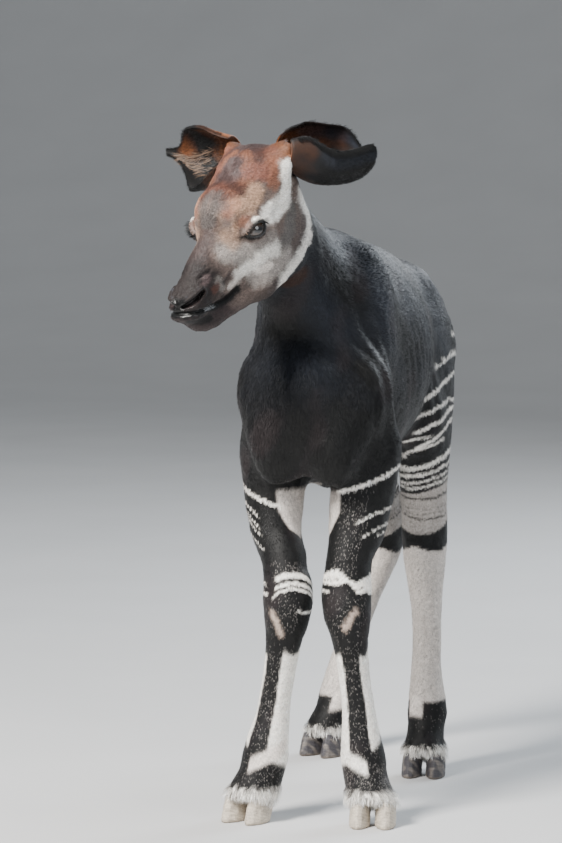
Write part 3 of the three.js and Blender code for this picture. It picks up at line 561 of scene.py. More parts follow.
def near_rims(q):
    g = to_head(q)
    m = mirrored(g)
    a, b = almond_place(g, np.sign(g[:, 0]))
    rims = (np.abs(almond_gap(a, b)) < 3.5) & (np.linalg.norm(m - EYE_AT, axis=1) < 27)
    return rims | ((along_path(m, NOSTRIL)[0] < 8) & (m[:, 0] > 6))


def knees_apart(p, way):
    """Moves the two knees apart (way 1) or back (way -1), so that the remesh can't bridge them."""
    near = ramp(np.abs(p[:, 1] - 10), 120, 90) * bump(p[:, 2], 352, 90)
    p[:, 0] += way * 5 * near * np.where(p[:, 0] > 15, 1, -1)
    return p


def made_skin():
    solids = joined(FLESH + ["eye_left", "eye_right"], 0.0006)
    put(solids, knees_apart(places(solids), 1))
    mesh = remeshed(solids, VOXEL, "skin")
    p = knees_apart(places(mesh), -1)
    p = relax(p, edge_list(mesh), np.ones(len(p)), 5)
    on_head = ramp(from_middle(to_head(p)), 190, 150)
    p = relax(p, edge_list(mesh), (1 - on_head) * (1 - 0.7 * ramp(p[:, 2], 470, 380)), 26)
    put(mesh, p)

    def near(q):
        return np.linalg.norm(to_head(q) - (0, -20, -14), axis=1) < 168

    refine(mesh, lambda q: near(q) | ((which_leg(q) >= 0) & (q[:, 2] < 660)))
    p = places(mesh)
    put(mesh, relax(p, edge_list(mesh), np.maximum(near(p), ramp(p[:, 2], 660, 600) * 0.8), 4))
    refine(mesh, muzzle)
    p = places(mesh)
    put(mesh, relax(p, edge_list(mesh), muzzle(p) * 0.8, 2))
    refine(mesh, near_rims)
    shape_skin(mesh)
    return mesh


# The line of the mouth seen from the side
MOUTH = np.array([(-163, -65.5), (-152, -67), (-142, -69), (-128, -71), (-106, -74.5), (-90, -75.5),
                  (-74, -75), (-58, -72), (-44, -71)])


def mouth_line(y):
    return np.interp(y, MOUTH[:, 0], MOUTH[:, 1])


NOSTRIL = np.array([[24.0, -125, -46], [23, -134, -49], [20, -143, -52], [15, -153, -54.5], [9, -160, -56.5]])
WING = NOSTRIL + (-0.5, -0.5, 6.5)
INWARD = unit(np.array([-0.8, 0.5, -0.25]))


def slit(m):
    """Distance from the nostril's middle line as the slit is seen, and how far along it."""
    flat = m - (m @ INWARD)[:, None] * INWARD
    far, t = along_path(flat, NOSTRIL - (NOSTRIL @ INWARD)[:, None] * INWARD)
    near = np.abs((m - NOSTRIL[2]) @ INWARD) < 26
    return np.where(near & (m[:, 0] > 3), far, 1e3), t


def along_path(q, path):
    """Distance to a path of points, and how far along it from 0 to 1."""
    best = np.full(len(q), 1e9)
    at = np.zeros(len(q))
    for k in range(len(path) - 1):
        a, b = path[k], path[k + 1]
        t = np.clip(((q - a) @ (b - a)) / ((b - a) @ (b - a)), 0, 1)
        far = np.linalg.norm(q - a - t[:, None] * (b - a), axis=1)
        near = far < best
        best = np.where(near, far, best)
        at = np.where(near, (k + t) / (len(path) - 1), at)
    return best, at


def coat_depth(p):
    face = ramp(from_middle(to_head(p)), 200, 160)
    return 2.4 - 1.2 * np.maximum(face, ramp(p[:, 2], 480, 380))


def body_folds(p):
    """Folds of loose skin before the shoulder, behind the elbow, over the ribs and at the flank."""
    x, y, z = p.T
    shoulder = bump(y, 8, 90) * bump(z, 690, 150) * ramp(np.abs(x), 30, 60)
    waves = np.sin((y + 0.22 * (z - 700) + 5 * noise(p, 90, 21)) * 2 * math.pi / 31)
    push = 2.0 * shoulder * waves
    push += 1.6 * bump(y, 150, 70) * bump(z, 560, 80) * np.sin((y - 0.5 * z) * 2 * math.pi / 27)
    ribs = bump(y, 260, 150) * bump(z, 690, 110)
    push += 0.9 * ribs * np.sin((y + 0.35 * z) * 2 * math.pi / 30)
    push += 1.8 * bump(y, 395, 50) * bump(z, 620, 90) * np.sin((y + 0.2 * z) * 2 * math.pi / 36)
    push += 1.6 * noise(p, 120, 22) * ramp(z, 480, 560) + 0.5 * noise(p, 34, 23) * ramp(z, 120, 420)
    return push


def leg_relief(p):
    """Sinews with the grooves beside them, the fetlocks' sides and the cleft of each foot."""
    z = p[:, 2]
    push = np.zeros(len(p))
    legs = which_leg(p)
    for k, name in enumerate(LEGS):
        mine = (legs == k) & (z < 380)
        turn = about_leg(name, p)[1]
        tall = ramp(z, 120, 145) * ramp(z, 300, 270) * mine
        sinew = 1.6 * bump(wrap(turn - 135), 0, 26) + 1.6 * bump(wrap(turn + 135), 0, 26)
        groove = -1.8 * bump(wrap(turn - 100), 0, 22) - 1.8 * bump(wrap(turn + 100), 0, 22)
        push += tall * (sinew + groove) + 1.4 * mine * bump(z, 98, 18) * bump(np.abs(turn), 100, 50)
        cleft = mine * ramp(z, 66, 40) * bump(turn, 6, 26)
        push -= 4.0 * cleft
    return push


# The head's forms, as a height, a middle and a reach: brow, under the eye, cheekbone, side of the nose
FORMS = [
    (1.6, (58, -14, 26), (20, 34, 12)),
    (-1.5, (58, -12, -26), (20, 30, 8)),
    (1.2, (46, -50, -28), (20, 46, 9)),
    (-2.2, (34, -70, -6), (20, 40, 12)),
]
# Its folds, as a path, a depth and half a width: over the nostril, at the cheek's front, down to the
# lip, and below the eye
FOLDS = [
    ([(23, -95, -25), (20, -109, -28), (15, -121, -29)], 1.9, 4),
    ([(32, -54, -45), (31, -63, -47), (29, -76, -52)], 2.6, 6),
    ([(27, -86, -58), (26, -98, -64)], 1.2, 5),
    ([(40, -40, -30), (34, -58, -26)], 0.8, 6),
]


def face_relief(h, m):
    """How far the head's skin stands out, with the lips rolling in to the mouth."""
    lift = np.zeros(len(h))
    for high, middle, reach in FORMS:
        lift += high * bump(np.linalg.norm((m - middle) / reach, axis=1), 0, 1)
    for path, deep, reach in FOLDS:
        far = along_path(m, np.array(path, float))[0]
        lift -= deep * bump(far, 0, reach)
        lift += 0.5 * deep * bump(far, reach * 1.2, reach * 0.8)
    lift += 1.4 * bump(along_path(m, np.array([[25.0, -98, -42], [26, -110, -54]]))[0], 0, 11)
    lift += 0.5 * noise(h, 22, 31) * ramp(m[:, 1], -60, 60) + 0.3 * noise(h, 9, 32)
    to_mouth = m[:, 2] - mouth_line(m[:, 1])
    lips = 1.5 * bump(to_mouth, 5.5, 5) + 1.8 * bump(to_mouth, -6.5, 6.5) - 3.8 * bump(to_mouth, 0, 2.8)
    return lift + ramp(m[:, 1], -44, -62) * lips


def face_shaped(h, out, m, side, on):
    """The face's relief, the lip and nose in profile, and the nostrils as slits under raised wings."""
    far, t = slit(m)
    half = 1.0 + 3.4 * np.sin(math.pi * np.clip(0.08 + 0.84 * t, 0, 1)) ** 0.8
    lift = face_relief(h, m)
    lift += 3.2 * bump(along_path(m, WING)[0], 0, 5.5) + 1.1 * bump(far, half + 2.6, 3.0)
    h = h + out * (lift * on)[:, None]
    h[:, 1] -= 3.5 * bump(m[:, 2], -76, 10) * ramp(m[:, 1], -130, -155) * on
    h[:, 1] += 2.0 * bump(m[:, 2], -60, 5) * ramp(m[:, 1], -146, -160) * on
    inward = np.stack([side, np.ones(len(h)), np.ones(len(h))], -1) * INWARD
    return h + inward * (12 * np.clip(1 - (far / half) ** 2, 0, 1) ** 0.55 * on)[:, None]


def lids_wrapped(h, side):
    """Outside the opening the lids wrap the eyeball, inside it the skin drops behind."""
    middle = eye_middle(side)
    ray = h - middle
    radius = np.linalg.norm(ray, axis=1)
    a, b = almond_place(h, side)
    gap = almond_gap(a, b)
    facing = (unit(ray) * eye_axes(side)[0]).sum(1)
    lid = EYE + 2.3 + 1.1 * bump(gap, 3.4, 2.6) * ramp(b, -2, 3) - 1.0 * bump(gap, 7.0, 2.2)
    blend = ramp(gap, 13, 5)
    goal = lid * blend + np.maximum(radius, lid - 1) * (1 - blend)
    drop = ramp(gap, 0.5, -0.5)
    goal = goal * (1 - drop) + (EYE - 4.0) * drop
    use = (facing > 0.12) & (radius < 40)
    return np.where(use[:, None], middle + unit(ray) * goal[:, None], h)


def shape_skin(mesh):
    """Sinks the skin by the coat's depth, then gives it folds, sinews, lips, nostrils and lids."""
    p = places(mesh)
    n = normals(mesh)
    p = p - n * coat_depth(p)[:, None]
    head_far = from_middle(to_head(p))
    push = body_folds(p) * ramp(head_far, 170, 215) + leg_relief(p)
    p = p + n * push[:, None]
    h = to_head(p)
    side = np.where(h[:, 0] < 0, -1.0, 1.0)
    on = ramp(head_far, 200, 180)
    h = face_shaped(h, n @ HEAD, mirrored(h), side, on)
    h = lids_wrapped(h, side)
    put(mesh, np.where((on > 0)[:, None], from_head(h), p))


skin_mesh = made_skin()
skin = added("skin", skin_mesh)
skin_mesh.shade_smooth()
skin_places = places(skin_mesh)
skin_colour = coat_colour(skin_places)
set_colour(skin_mesh, skin_colour)


def set_wet(mesh, p):
    """How moist and bare the skin is: nose, lips and lid edges."""
    h = to_head(p)
    m = mirrored(h)
    wet = ramp(np.abs(m[:, 2] - mouth_line(m[:, 1]) + 1), 6.5, 4) * ramp(m[:, 1], -92, -108)
    wet = np.maximum(wet, ramp(slit(m)[0], 7.5, 5) * ramp(m[:, 1], -115, -124))
    wet = np.maximum(wet, ramp(np.linalg.norm(m - (4, -162, -57), axis=1), 15, 10))
    a, b = almond_place(h, np.sign(h[:, 0]))
    wet = np.maximum(wet, ramp(almond_gap(a, b), 3.2, 1.8) * (np.linalg.norm(m - EYE_AT, axis=1) < 30))
    wet *= from_middle(h) < 200
    layer = mesh.attributes.new("wet", "FLOAT", "POINT")
    layer.data.foreach_set("value", wet.astype(np.float32))


set_wet(skin_mesh, skin_places)


# Materials
WET_ROUGHNESS = 0.24


def shader(name, roughness=0.6, **sockets):
    mat = bpy.data.materials.new(name)
    mat.use_nodes = True
    tree = mat.node_tree
    out = tree.nodes["Principled BSDF"]
    out.inputs["Roughness"].default_value = roughness
    for key, value in sockets.items():
        out.inputs[key.replace("_", " ")].default_value = value
    return mat, tree, out


def grain(tree, scale, detail=4.0):
    spot = tree.nodes.new("ShaderNodeTexCoord")
    tex = tree.nodes.new("ShaderNodeTexNoise")
    tex.inputs["Scale"].default_value = scale
    tex.inputs["Detail"].default_value = detail
    tree.links.new(spot.outputs["Object"], tex.inputs["Vector"])
    return tex


def roughened(tree, out, scale, strength, distance=0.001, detail=4.0):
    tex = grain(tree, scale, detail)
    knob = tree.nodes.new("ShaderNodeBump")
    knob.inputs["Strength"].default_value = strength
    knob.inputs["Distance"].default_value = distance
    tree.links.new(tex.outputs["Fac"], knob.inputs["Height"])
    tree.links.new(knob.outputs["Normal"], out.inputs["Normal"])


def spanned(tree, value, low, high):
    """A value from 0 to 1 as one from low to high."""
    span = tree.nodes.new("ShaderNodeMapRange")
    span.inputs["To Min"].default_value = low
    span.inputs["To Max"].default_value = high
    tree.links.new(value, span.inputs["Value"])
    return span.outputs["Result"]


def coat_material(name, roughness, scale, strength, sheen):
    """The colours stored on the piece, with fine grain, glossier where the skin is wet."""
    mat, tree, out = shader(name, roughness, Sheen_Weight=sheen, Specular_IOR_Level=0.22)
    ink = tree.nodes.new("ShaderNodeAttribute")
    ink.attribute_name = "coat"
    shade = spanned(tree, grain(tree, scale).outputs["Fac"], 0.6, 1.4)
    mix = tree.nodes.new("ShaderNodeVectorMath")
    mix.operation = "SCALE"
    tree.links.new(ink.outputs["Color"], mix.inputs[0])
    tree.links.new(shade, mix.inputs["Scale"])
    tree.links.new(mix.outputs["Vector"], out.inputs["Base Color"])
    roughened(tree, out, scale * 2, strength)
    moist = tree.nodes.new("ShaderNodeAttribute")
    moist.attribute_name = "wet"
    gloss = spanned(tree, moist.outputs["Fac"], roughness, WET_ROUGHNESS)
    tree.links.new(gloss, out.inputs["Roughness"])
    return mat


skin_mat = coat_material("skin_coat", 0.6, 260, 0.45, 0.05)
fur_mat = coat_material("fur", 0.52, 420, 0.0, 0.06)
skin_mesh.materials.append(skin_mat)
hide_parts(*FLESH)
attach(skin, "root")


# The coat: thin tapered blades in tufts, rooted in a skin and lying along it
def triangles(mesh):
    mesh.calc_loop_triangles()
    t = np.empty(len(mesh.loop_triangles) * 3, np.int32)
    mesh.loop_triangles.foreach_get("vertices", t)
    return t.reshape(-1, 3)


def scatter(p, tris, n, count, weight):
    """Random roots on the triangles, more where the weight is high."""
    a, b, c = p[tris[:, 0]], p[tris[:, 1]], p[tris[:, 2]]
    area = np.linalg.norm(np.cross(b - a, c - a), axis=1) / 2
    chance = area * weight[tris].mean(1)
    pick = rng.choice(len(tris), count, p=chance / chance.sum())
    u, v = rng.random(count), rng.random(count)
    flip = u + v > 1
    u, v = np.where(flip, 1 - u, u)[:, None], np.where(flip, 1 - v, v)[:, None]
    w = 1 - u - v
    t = tris[pick]
    at = p[t[:, 0]] * w + p[t[:, 1]] * u + p[t[:, 2]] * v
    up = unit(n[t[:, 0]] * w + n[t[:, 1]] * u + n[t[:, 2]] * v)
    return at, up


TILES = {"trunk": (0.01, 0.01, 0.6, 0.98), "head": (0.63, 0.5, 0.36, 0.49)}
for k, leg in enumerate(LEGS):
    TILES[leg] = (0.63 + 0.092 * k, 0.01, 0.085, 0.47)


def unwrap(p):
    """Where a place on the skin lies on the unwrapped skin."""
    uv = np.empty((len(p), 2))
    part = which_leg(p)
    h = to_head(p)
    on_head = from_middle(h) < 185

    def lay(mask, tile, around, along):
        x, y, w, t = TILES[tile]
        uv[mask] = np.stack([x + w * around[mask], y + t * np.clip(along[mask], 0, 1)], -1)

    turn = np.arctan2(p[:, 0], p[:, 2] - 690) / (2 * math.pi) + 0.5
    lay(np.ones(len(p), bool), "trunk", turn, (p[:, 1] + 170) / 870)
    lay(on_head, "head", np.arctan2(h[:, 0], h[:, 2] + 20) / (2 * math.pi) + 0.5, (h[:, 1] + 185) / 350)
    for k, leg in enumerate(LEGS):
        lay((part == k) & ~on_head, leg, about_leg(leg, p)[1] / 360 + 0.5, p[:, 2] / 640)
    return uv


# A blade has five corners and three triangles, so this many keep a piece under 200,000 triangles
CORNERS = 5
MOST_BLADES = 64000
# How much of its rise a blade keeps at its tip
TIP_RISE = 0.8


def blades(name, at, up, way, length, width, lift, colour, mat, spread=1.0, per=2, uv=None):
    """Tufts of tapered blades. Each starts under the skin, rises and lies down along its way."""
    count = len(at)
    uv = unwrap(at) if uv is None else uv
    way = unit(way - up * (way * up).sum(1, keepdims=True))
    across = np.cross(up, way)
    points, shade, patch = [], [], []
    for k in range(per):
        swing = rng.normal(0, 0.16 * spread, count) + (k - (per - 1) / 2) * 0.16 * spread
        aim = unit(way * np.cos(swing)[:, None] + across * np.sin(swing)[:, None])
        wide = np.cross(up, aim)
        root = at + across * (rng.uniform(-0.5, 0.5, count) * width * per * 0.8)[:, None]
        long = length * rng.uniform(0.7, 1.15, count)
        rise = lift * rng.uniform(0.6, 1.5, count)
        tilt = unit(wide + up * rng.normal(0, 0.12, count)[:, None])
        half = (width / 2)[:, None]
        base = root - up * 0.5
        mid = root + aim * (0.5 * long)[:, None] + up * (0.25 + rise * long * 0.75)[:, None]
        tip = root + aim * long[:, None] + up * (rise * long * TIP_RISE + 0.15)[:, None]
        points.append(np.stack([base - tilt * half, base + tilt * half, mid - tilt * half * 0.8,
                                mid + tilt * half * 0.8, tip], 1))
        tone = colour * rng.uniform(0.6, 1.4, count)[:, None]
        # Each blade is painted darker towards its root and lighter at its tip: painted shade down in the coat
        # and painted light on the tips
        shade.append(np.stack([tone * 0.5, tone * 0.5, tone, tone, tone * 1.3], 1))
        spot = uv + rng.uniform(-0.0008, 0.0008, (count, 2))
        offs = np.array([(-0.0006, 0), (0.0006, 0), (-0.0005, 0.0007), (0.0005, 0.0007), (0, 0.0014)])
        patch.append(spot[:, None] + offs[None])
    points, shade, patch = (np.concatenate(q).reshape(-1, q[0].shape[-1]) for q in (points, shade, patch))
    total = count * per
    order = np.arange(total)[:, None] * CORNERS
    quads, tips = order + np.array([0, 1, 3, 2]), order + np.array([2, 3, 4])
    for start in range(0, total, MOST_BLADES):
        stop = min(total, start + MOST_BLADES)
        title = f"{name}_{start // MOST_BLADES}" if total > MOST_BLADES else name
        blade_mesh(title, points, shade, patch, quads, tips, start, stop, mat)


def blade_mesh(name, points, shade, patch, quads, tips, start, stop, mat):
    n = stop - start
    low = start * CORNERS
    q, t = quads[start:stop] - low, tips[start:stop] - low
    mesh = bpy.data.meshes.new(name)
    mesh.vertices.add(n * CORNERS)
    mesh.vertices.foreach_set("co", world(points[low:stop * CORNERS]).astype(np.float32).ravel())
    loops = np.concatenate([q, t], 1).ravel()
    mesh.loops.add(len(loops))
    mesh.loops.foreach_set("vertex_index", loops.astype(np.int32))
    mesh.polygons.add(n * 2)
    starts = (np.arange(n)[:, None] * 7 + np.array([0, 4])).ravel()
    mesh.polygons.foreach_set("loop_start", starts.astype(np.int32))
    mesh.update(calc_edges=True)
    uv = mesh.uv_layers.new(name="OFBake")
    uv.data.foreach_set("uv", patch[low:stop * CORNERS][loops].astype(np.float32).ravel())
    set_colour(mesh, np.clip(shade[low:stop * CORNERS], 0.002, 0.95))
    mesh.shade_smooth()
    mesh.materials.append(mat)
    piece = added(name, mesh)
    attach(piece, "root")
    return piece


def lie(p):
    """Which way the hair lies at places on the skin."""
    way = np.tile(np.array([0.0, 1.0, -0.35]), (len(p), 1))
    neck = ramp(p[:, 1], 60, -40)[:, None]
    way = way * (1 - neck) + np.array([0.1, 0.62, -0.8]) * neck
    chest = (ramp(p[:, 1], 20, -50) * ramp(p[:, 2], 760, 680))[:, None]
    way = way * (1 - chest) + np.array([0, 0.15, -1.0]) * chest
    rear = (ramp(p[:, 1], 520, 600) * ramp(p[:, 2], 820, 740))[:, None]
    way = way * (1 - rear) + np.array([0, 0.1, -1.0]) * rear
    down = (which_leg(p) >= 0) | (p[:, 2] < 500)
    way[down] = (0, 0.05, -1)
    h = to_head(p)
    head = ramp(from_middle(h), 190, 170)
    face = np.stack([np.sign(h[:, 0]) * 0.12, np.full(len(h), 1.0), 0.2 - 0.012 * np.abs(h[:, 0])], -1)
    crown = ramp(h[:, 2], 30, 70)
    face[:, 0] += np.sign(h[:, 0]) * 0.6 * crown
    for cx, cy, cz, reach in ((14, 20, 62, 34), (-14, 20, 62, 34), (48, -26, 22, 24), (-48, -26, 22, 24)):
        off = h - (cx, cy, cz)
        far = np.linalg.norm(off, axis=1)
        curl = bump(far, 0, reach)[:, None]
        swirl = np.cross(np.tile([0.3 * np.sign(cx), 0.0, 1.0], (len(h), 1)), unit(off))
        face = face * (1 - curl) + (swirl * np.sign(cx) + unit(off) * 0.5) * curl
    way = way * (1 - head[:, None]) + (face @ HEAD.T) * head[:, None]
    return way + 0.18 * np.stack([noise(p, 45, 41), noise(p, 45, 42), noise(p, 45, 43)], -1)


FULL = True
skin_normals = normals(skin_mesh)
skin_tris = triangles(skin_mesh)


def region_weights():
    """Where the tufts of each region grow: nowhere on the eyes, nostrils, nose and lips."""
    p = skin_places
    h = to_head(p)
    head = (from_middle(h) < 185).astype(float)
    m = mirrored(h)
    a, b = almond_place(h, np.where(h[:, 0] < 0, -1.0, 1.0))
    eye = (almond_gap(a, b) < 1.6) & (np.linalg.norm(m - EYE_AT, axis=1) < 30)
    to_mouth = m[:, 2] - mouth_line(m[:, 1])
    bare = eye | (slit(m)[0] < 5.5) | ((np.abs(to_mouth) < 2.2) & (m[:, 1] < -60) & (head > 0))
    bare |= (np.abs(to_mouth + 1) < 5.5) & (m[:, 1] < -108) & (head > 0)
    bare |= (m[:, 1] < -150) & (m[:, 2] < -48) & (m[:, 2] > -66) & (m[:, 0] < 9) & (head > 0)
    head = head * ~bare
    leg = (which_leg(p) >= 0).astype(float) * ~bare
    body = (1 - np.maximum(head, leg)) * ~bare
    return {"body": body, "leg": leg, "head": head}


# For each region: how many tufts, how long and wide they are, how much they rise, and their slot
COAT = {
    "body": (55000, 9.5, 1.1, 0.08, "dark_coat"),
    "leg": (98000, 4.0, 0.6, 0.12, "striped_coat"),
    "head": (60000, 4.3, 0.6, 0.13, "face_coat"),
}


def tuft_length(part, at, up, length):
    """Shorter on the nose, longer at the face's rear edge, above the hooves and along the ridge."""
    size = np.full(len(at), float(length))
    if part == "head":
        h = to_head(at)
        size *= 1 - 0.5 * ramp(h[:, 1], -80, -135) + 0.35 * ramp(h[:, 1], 60, 110)
        rear = ramp(h[:, 1] + 0.2 * h[:, 2], 96, 112) * ramp(h[:, 2], 30, 0)
        size *= 1 + 1.1 * rear
    elif part == "leg":
        size *= 1 + 2.8 * ramp(at[:, 2], 64, 52) + 0.25 * ramp(at[:, 2], 420, 520)
    else:
        ridge = ramp(np.abs(at[:, 0] + 8 * ramp(at[:, 1], 60, -60)), 9, 4) * (up[:, 2] > 0.4)
        size *= 1 + 0.5 * ridge
    return size


def with_pale_glints(tone, at):
    """Pale hairs among the dark ones of the legs, partly painted glints of light."""
    legs = which_leg(at)
    for k, name in enumerate(LEGS):
        mine = legs == k
        pale = rng.random(mine.sum()) < pale_glint_share(at[mine], k, about_leg(name, at[mine])[1])
        dark = tone[mine].mean(1, keepdims=True) < 0.1
        grey = GREY * rng.uniform(0.15, 0.95, (len(pale), 1))
        tone[mine] = np.where(pale[:, None] & dark, grey, tone[mine])
    return tone


def clothe():
    weights = region_weights()
    for part, (count, length, width, lift, slot) in COAT.items():
        count = count if FULL else count // 3
        at, up = scatter(skin_places, skin_tris, skin_normals, count, weights[part])
        at = at.astype(float)
        size = tuft_length(part, at, up, length)
        tone = coat_colour(at)
        raised = np.full(count, lift) + 0.05 * np.clip(noise(at, 22, 51), 0, 1)
        if part == "leg":
            # Pale hairs and painted glints of light among the legs' dark hairs
            tone = with_pale_glints(tone, at)
            raised = raised + 0.3 * ramp(at[:, 2], 64, 52)
        blades(f"coat_{part}", at, up, lie(at), size, np.full(count, width), raised, tone, fur_mat)


clothe()


# The ears: cupped sheets, as wide and curled as the solids, with a fine rim. Each has its side, the way
# it points, the way its cup opens, and stations from root to tip: how far out, across and up, the
# cup's radius, half the degrees that it wraps, and how far it is turned
EARS = {
    "left": (1, (0.66, 0.74, -0.01), (0.05, -0.42, 0.9), [
        (0, 0, 0, 25, 150, 0), (14, 0, 0, 36, 150, 0), (31, 0, 0, 45, 128, -6), (49, 0, 0, 50, 119, -9),
        (71, 0, 0, 51, 118, -8), (95, 0, 0, 49, 121, -5), (115, 0, 0, 43, 125, -1), (129, 0, -1, 33, 122, 0),
        (138, 0, -3, 19, 98, 0)]),
    "right": (-1, (-0.94, 0.24, -0.25), (0.1, -0.93, 0.3), [
        (0, 0, 0, 24, 140, 0), (17, 1, 0, 34, 130, 0), (37, 3, 0, 44, 114, 0), (58, 5, 0, 50, 102, 0),
        (79, 9, -3, 48, 90, 0), (93, 16, -11, 39, 77, 0), (104, 24, -22, 26, 64, 0),
        (115, 33, -32, 14, 54, 0), (129, 41, -42, 9, 46, 0), (145, 49, -50, 6, 40, 0)]),
}
EAR_ROOT = np.array([50.0, 118, 74])
ROWS, COLS = 56, 44
RIM_WIDE = 1.6


def ear_sheet(name):
    side, out, opening, stations = EARS[name]
    along = unit(np.array(out))
    opening = np.array(opening)
    up = unit(opening - along * (opening @ along))
    across = np.cross(along, up)
    s = np.array(stations, float)
    s[0, 0] = -7
    pos = np.linspace(0, len(s) - 1, ROWS)
    smooth = np.stack([np.interp(pos, range(len(s)), s[:, k]) for k in range(6)], -1)
    for _ in range(4):
        smooth[1:-1] = (smooth[:-2] + 2 * smooth[1:-1] + smooth[2:]) / 4
    root = from_head((side * EAR_ROOT[0], EAR_ROOT[1], EAR_ROOT[2]))
    angle = np.radians(smooth[:, 5:6] + smooth[:, 4:5] * np.linspace(-1, 1, COLS)[None])
    middle = root + smooth[:, :1] * along + smooth[:, 1:2] * across + smooth[:, 2:3] * up
    outwards = np.sin(angle)[..., None] * across - np.cos(angle)[..., None] * up
    t = np.linspace(0, 1, ROWS)[:, None]
    edge = np.abs(np.linspace(-1, 1, COLS))[None]
    ripple = 0.7 * np.sin(angle * 9) * (1 - t) * ramp(t, 0, 0.2)
    wave = 1.4 * edge ** 4 * np.sin(t * 17 + side)
    radius = smooth[:, 3:4] - 0.8 + wave
    outer = middle[:, None] + outwards * radius[..., None]
    thick = (3.6 - 1.9 * t) * (1 - 0.55 * edge ** 6)
    inner = middle[:, None] + outwards * (radius - thick + ripple * 0.6)[..., None]
    return outer, inner, outwards, along, t


def ear_tone(name, t, turn, inside, p):
    """turn runs from -1 to 1 between the two edges of the cup."""
    edge = np.abs(turn)
    patch = noise(p, 34, 61)
    colour = np.tile(BLACK * 1.1, (len(p), 1))
    if name == "left" and inside:
        colour = paint(colour, ramp(t + 0.1 * patch, 0.95, 0.2) * 0.45, RUST)
        colour = paint(colour, ramp(t, 0.2, 0.05) * 0.6, RUST)
    elif name == "left":
        colour = paint(colour, ramp(t + 0.09 * patch, 0.26, 0.0) * 0.75, RUST * 0.13)
        colour = paint(colour, bump(turn, 0.1, 0.3) * ramp(t, 0.75, 0.4) * 0.6, RUST * 0.22)
    elif inside:
        colour = paint(colour, ramp(t + 0.07 * patch, 0.36, 0.12) * 0.95, RUST * 0.45)
        colour = paint(colour, bump(t, 0.62, 0.2) * ramp(turn, -0.1, 0.4) * 0.7, RUST * 0.8)
        # Painted shade on one side of the right ear's lining, inside the cup
        colour = paint(colour, ramp(-turn, 0.1, 0.5) * ramp(t, 0.1, 0.3) * 0.6, BLACK)
    else:
        colour = paint(colour, ramp(t + 0.1 * patch, 0.4, 0.1) * 0.85, RUST)
    # Painted sheen, blue grey, along the left ear's rims
    sheen = ramp(edge, 0.66, 0.8) * ramp(edge, 1.0, 0.9) * (name == "left") * ramp(t, 0.2, 0.35)
    colour = paint(colour, sheen * 0.4, SHEEN_BLUE * 0.7)
    return paint(colour, ramp(edge, 0.86, 0.97) * 0.85, BLACK) * (1 + 0.2 * noise(p, 9, 62))[:, None]


def made_ear(name):
    sheet = ear_sheet(name)
    outer, inner, _, _, t = sheet
    ring = np.concatenate([outer, inner[:, ::-1]], 1)
    rows, cols = ring.shape[:2]
    k = np.arange(rows * cols).reshape(rows, cols)
    nxt = np.roll(k, -1, axis=1)
    body = np.stack([k[:-1], nxt[:-1], nxt[1:], k[1:]], -1).reshape(-1, 4)
    caps = []
    for r, flip in ((0, True), (rows - 1, False)):
        for i in range(COLS - 1):
            quad = [k[r, i], k[r, i + 1], k[r, cols - 2 - i], k[r, cols - 1 - i]]
            caps.append(quad[::-1] if flip else quad)
    piece = make(f"ear_{name}_skin", ring.reshape(-1, 3), np.concatenate([body, caps]))
    bm = bmesh.new()
    bm.from_mesh(piece.data)
    bmesh.ops.recalc_face_normals(bm, faces=bm.faces)
    bm.to_mesh(piece.data)
    bm.free()
    tt = np.broadcast_to(t, (rows, COLS)).ravel()
    turn = np.broadcast_to(np.linspace(-1, 1, COLS)[None], (rows, COLS)).ravel()
    outside = ear_tone(name, tt, turn, False, outer.reshape(-1, 3)).reshape(rows, COLS, 3)
    lining = ear_tone(name, tt, turn, True, inner.reshape(-1, 3)).reshape(rows, COLS, 3)
    tone = np.concatenate([outside, lining[:, ::-1]], 1)
    set_colour(piece.data, np.clip(tone.reshape(-1, 3), 0.002, 0.9))
    piece.data.materials.append(skin_mat)
    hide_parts(f"ear_{name}")
    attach(piece, "root")
    return sheet


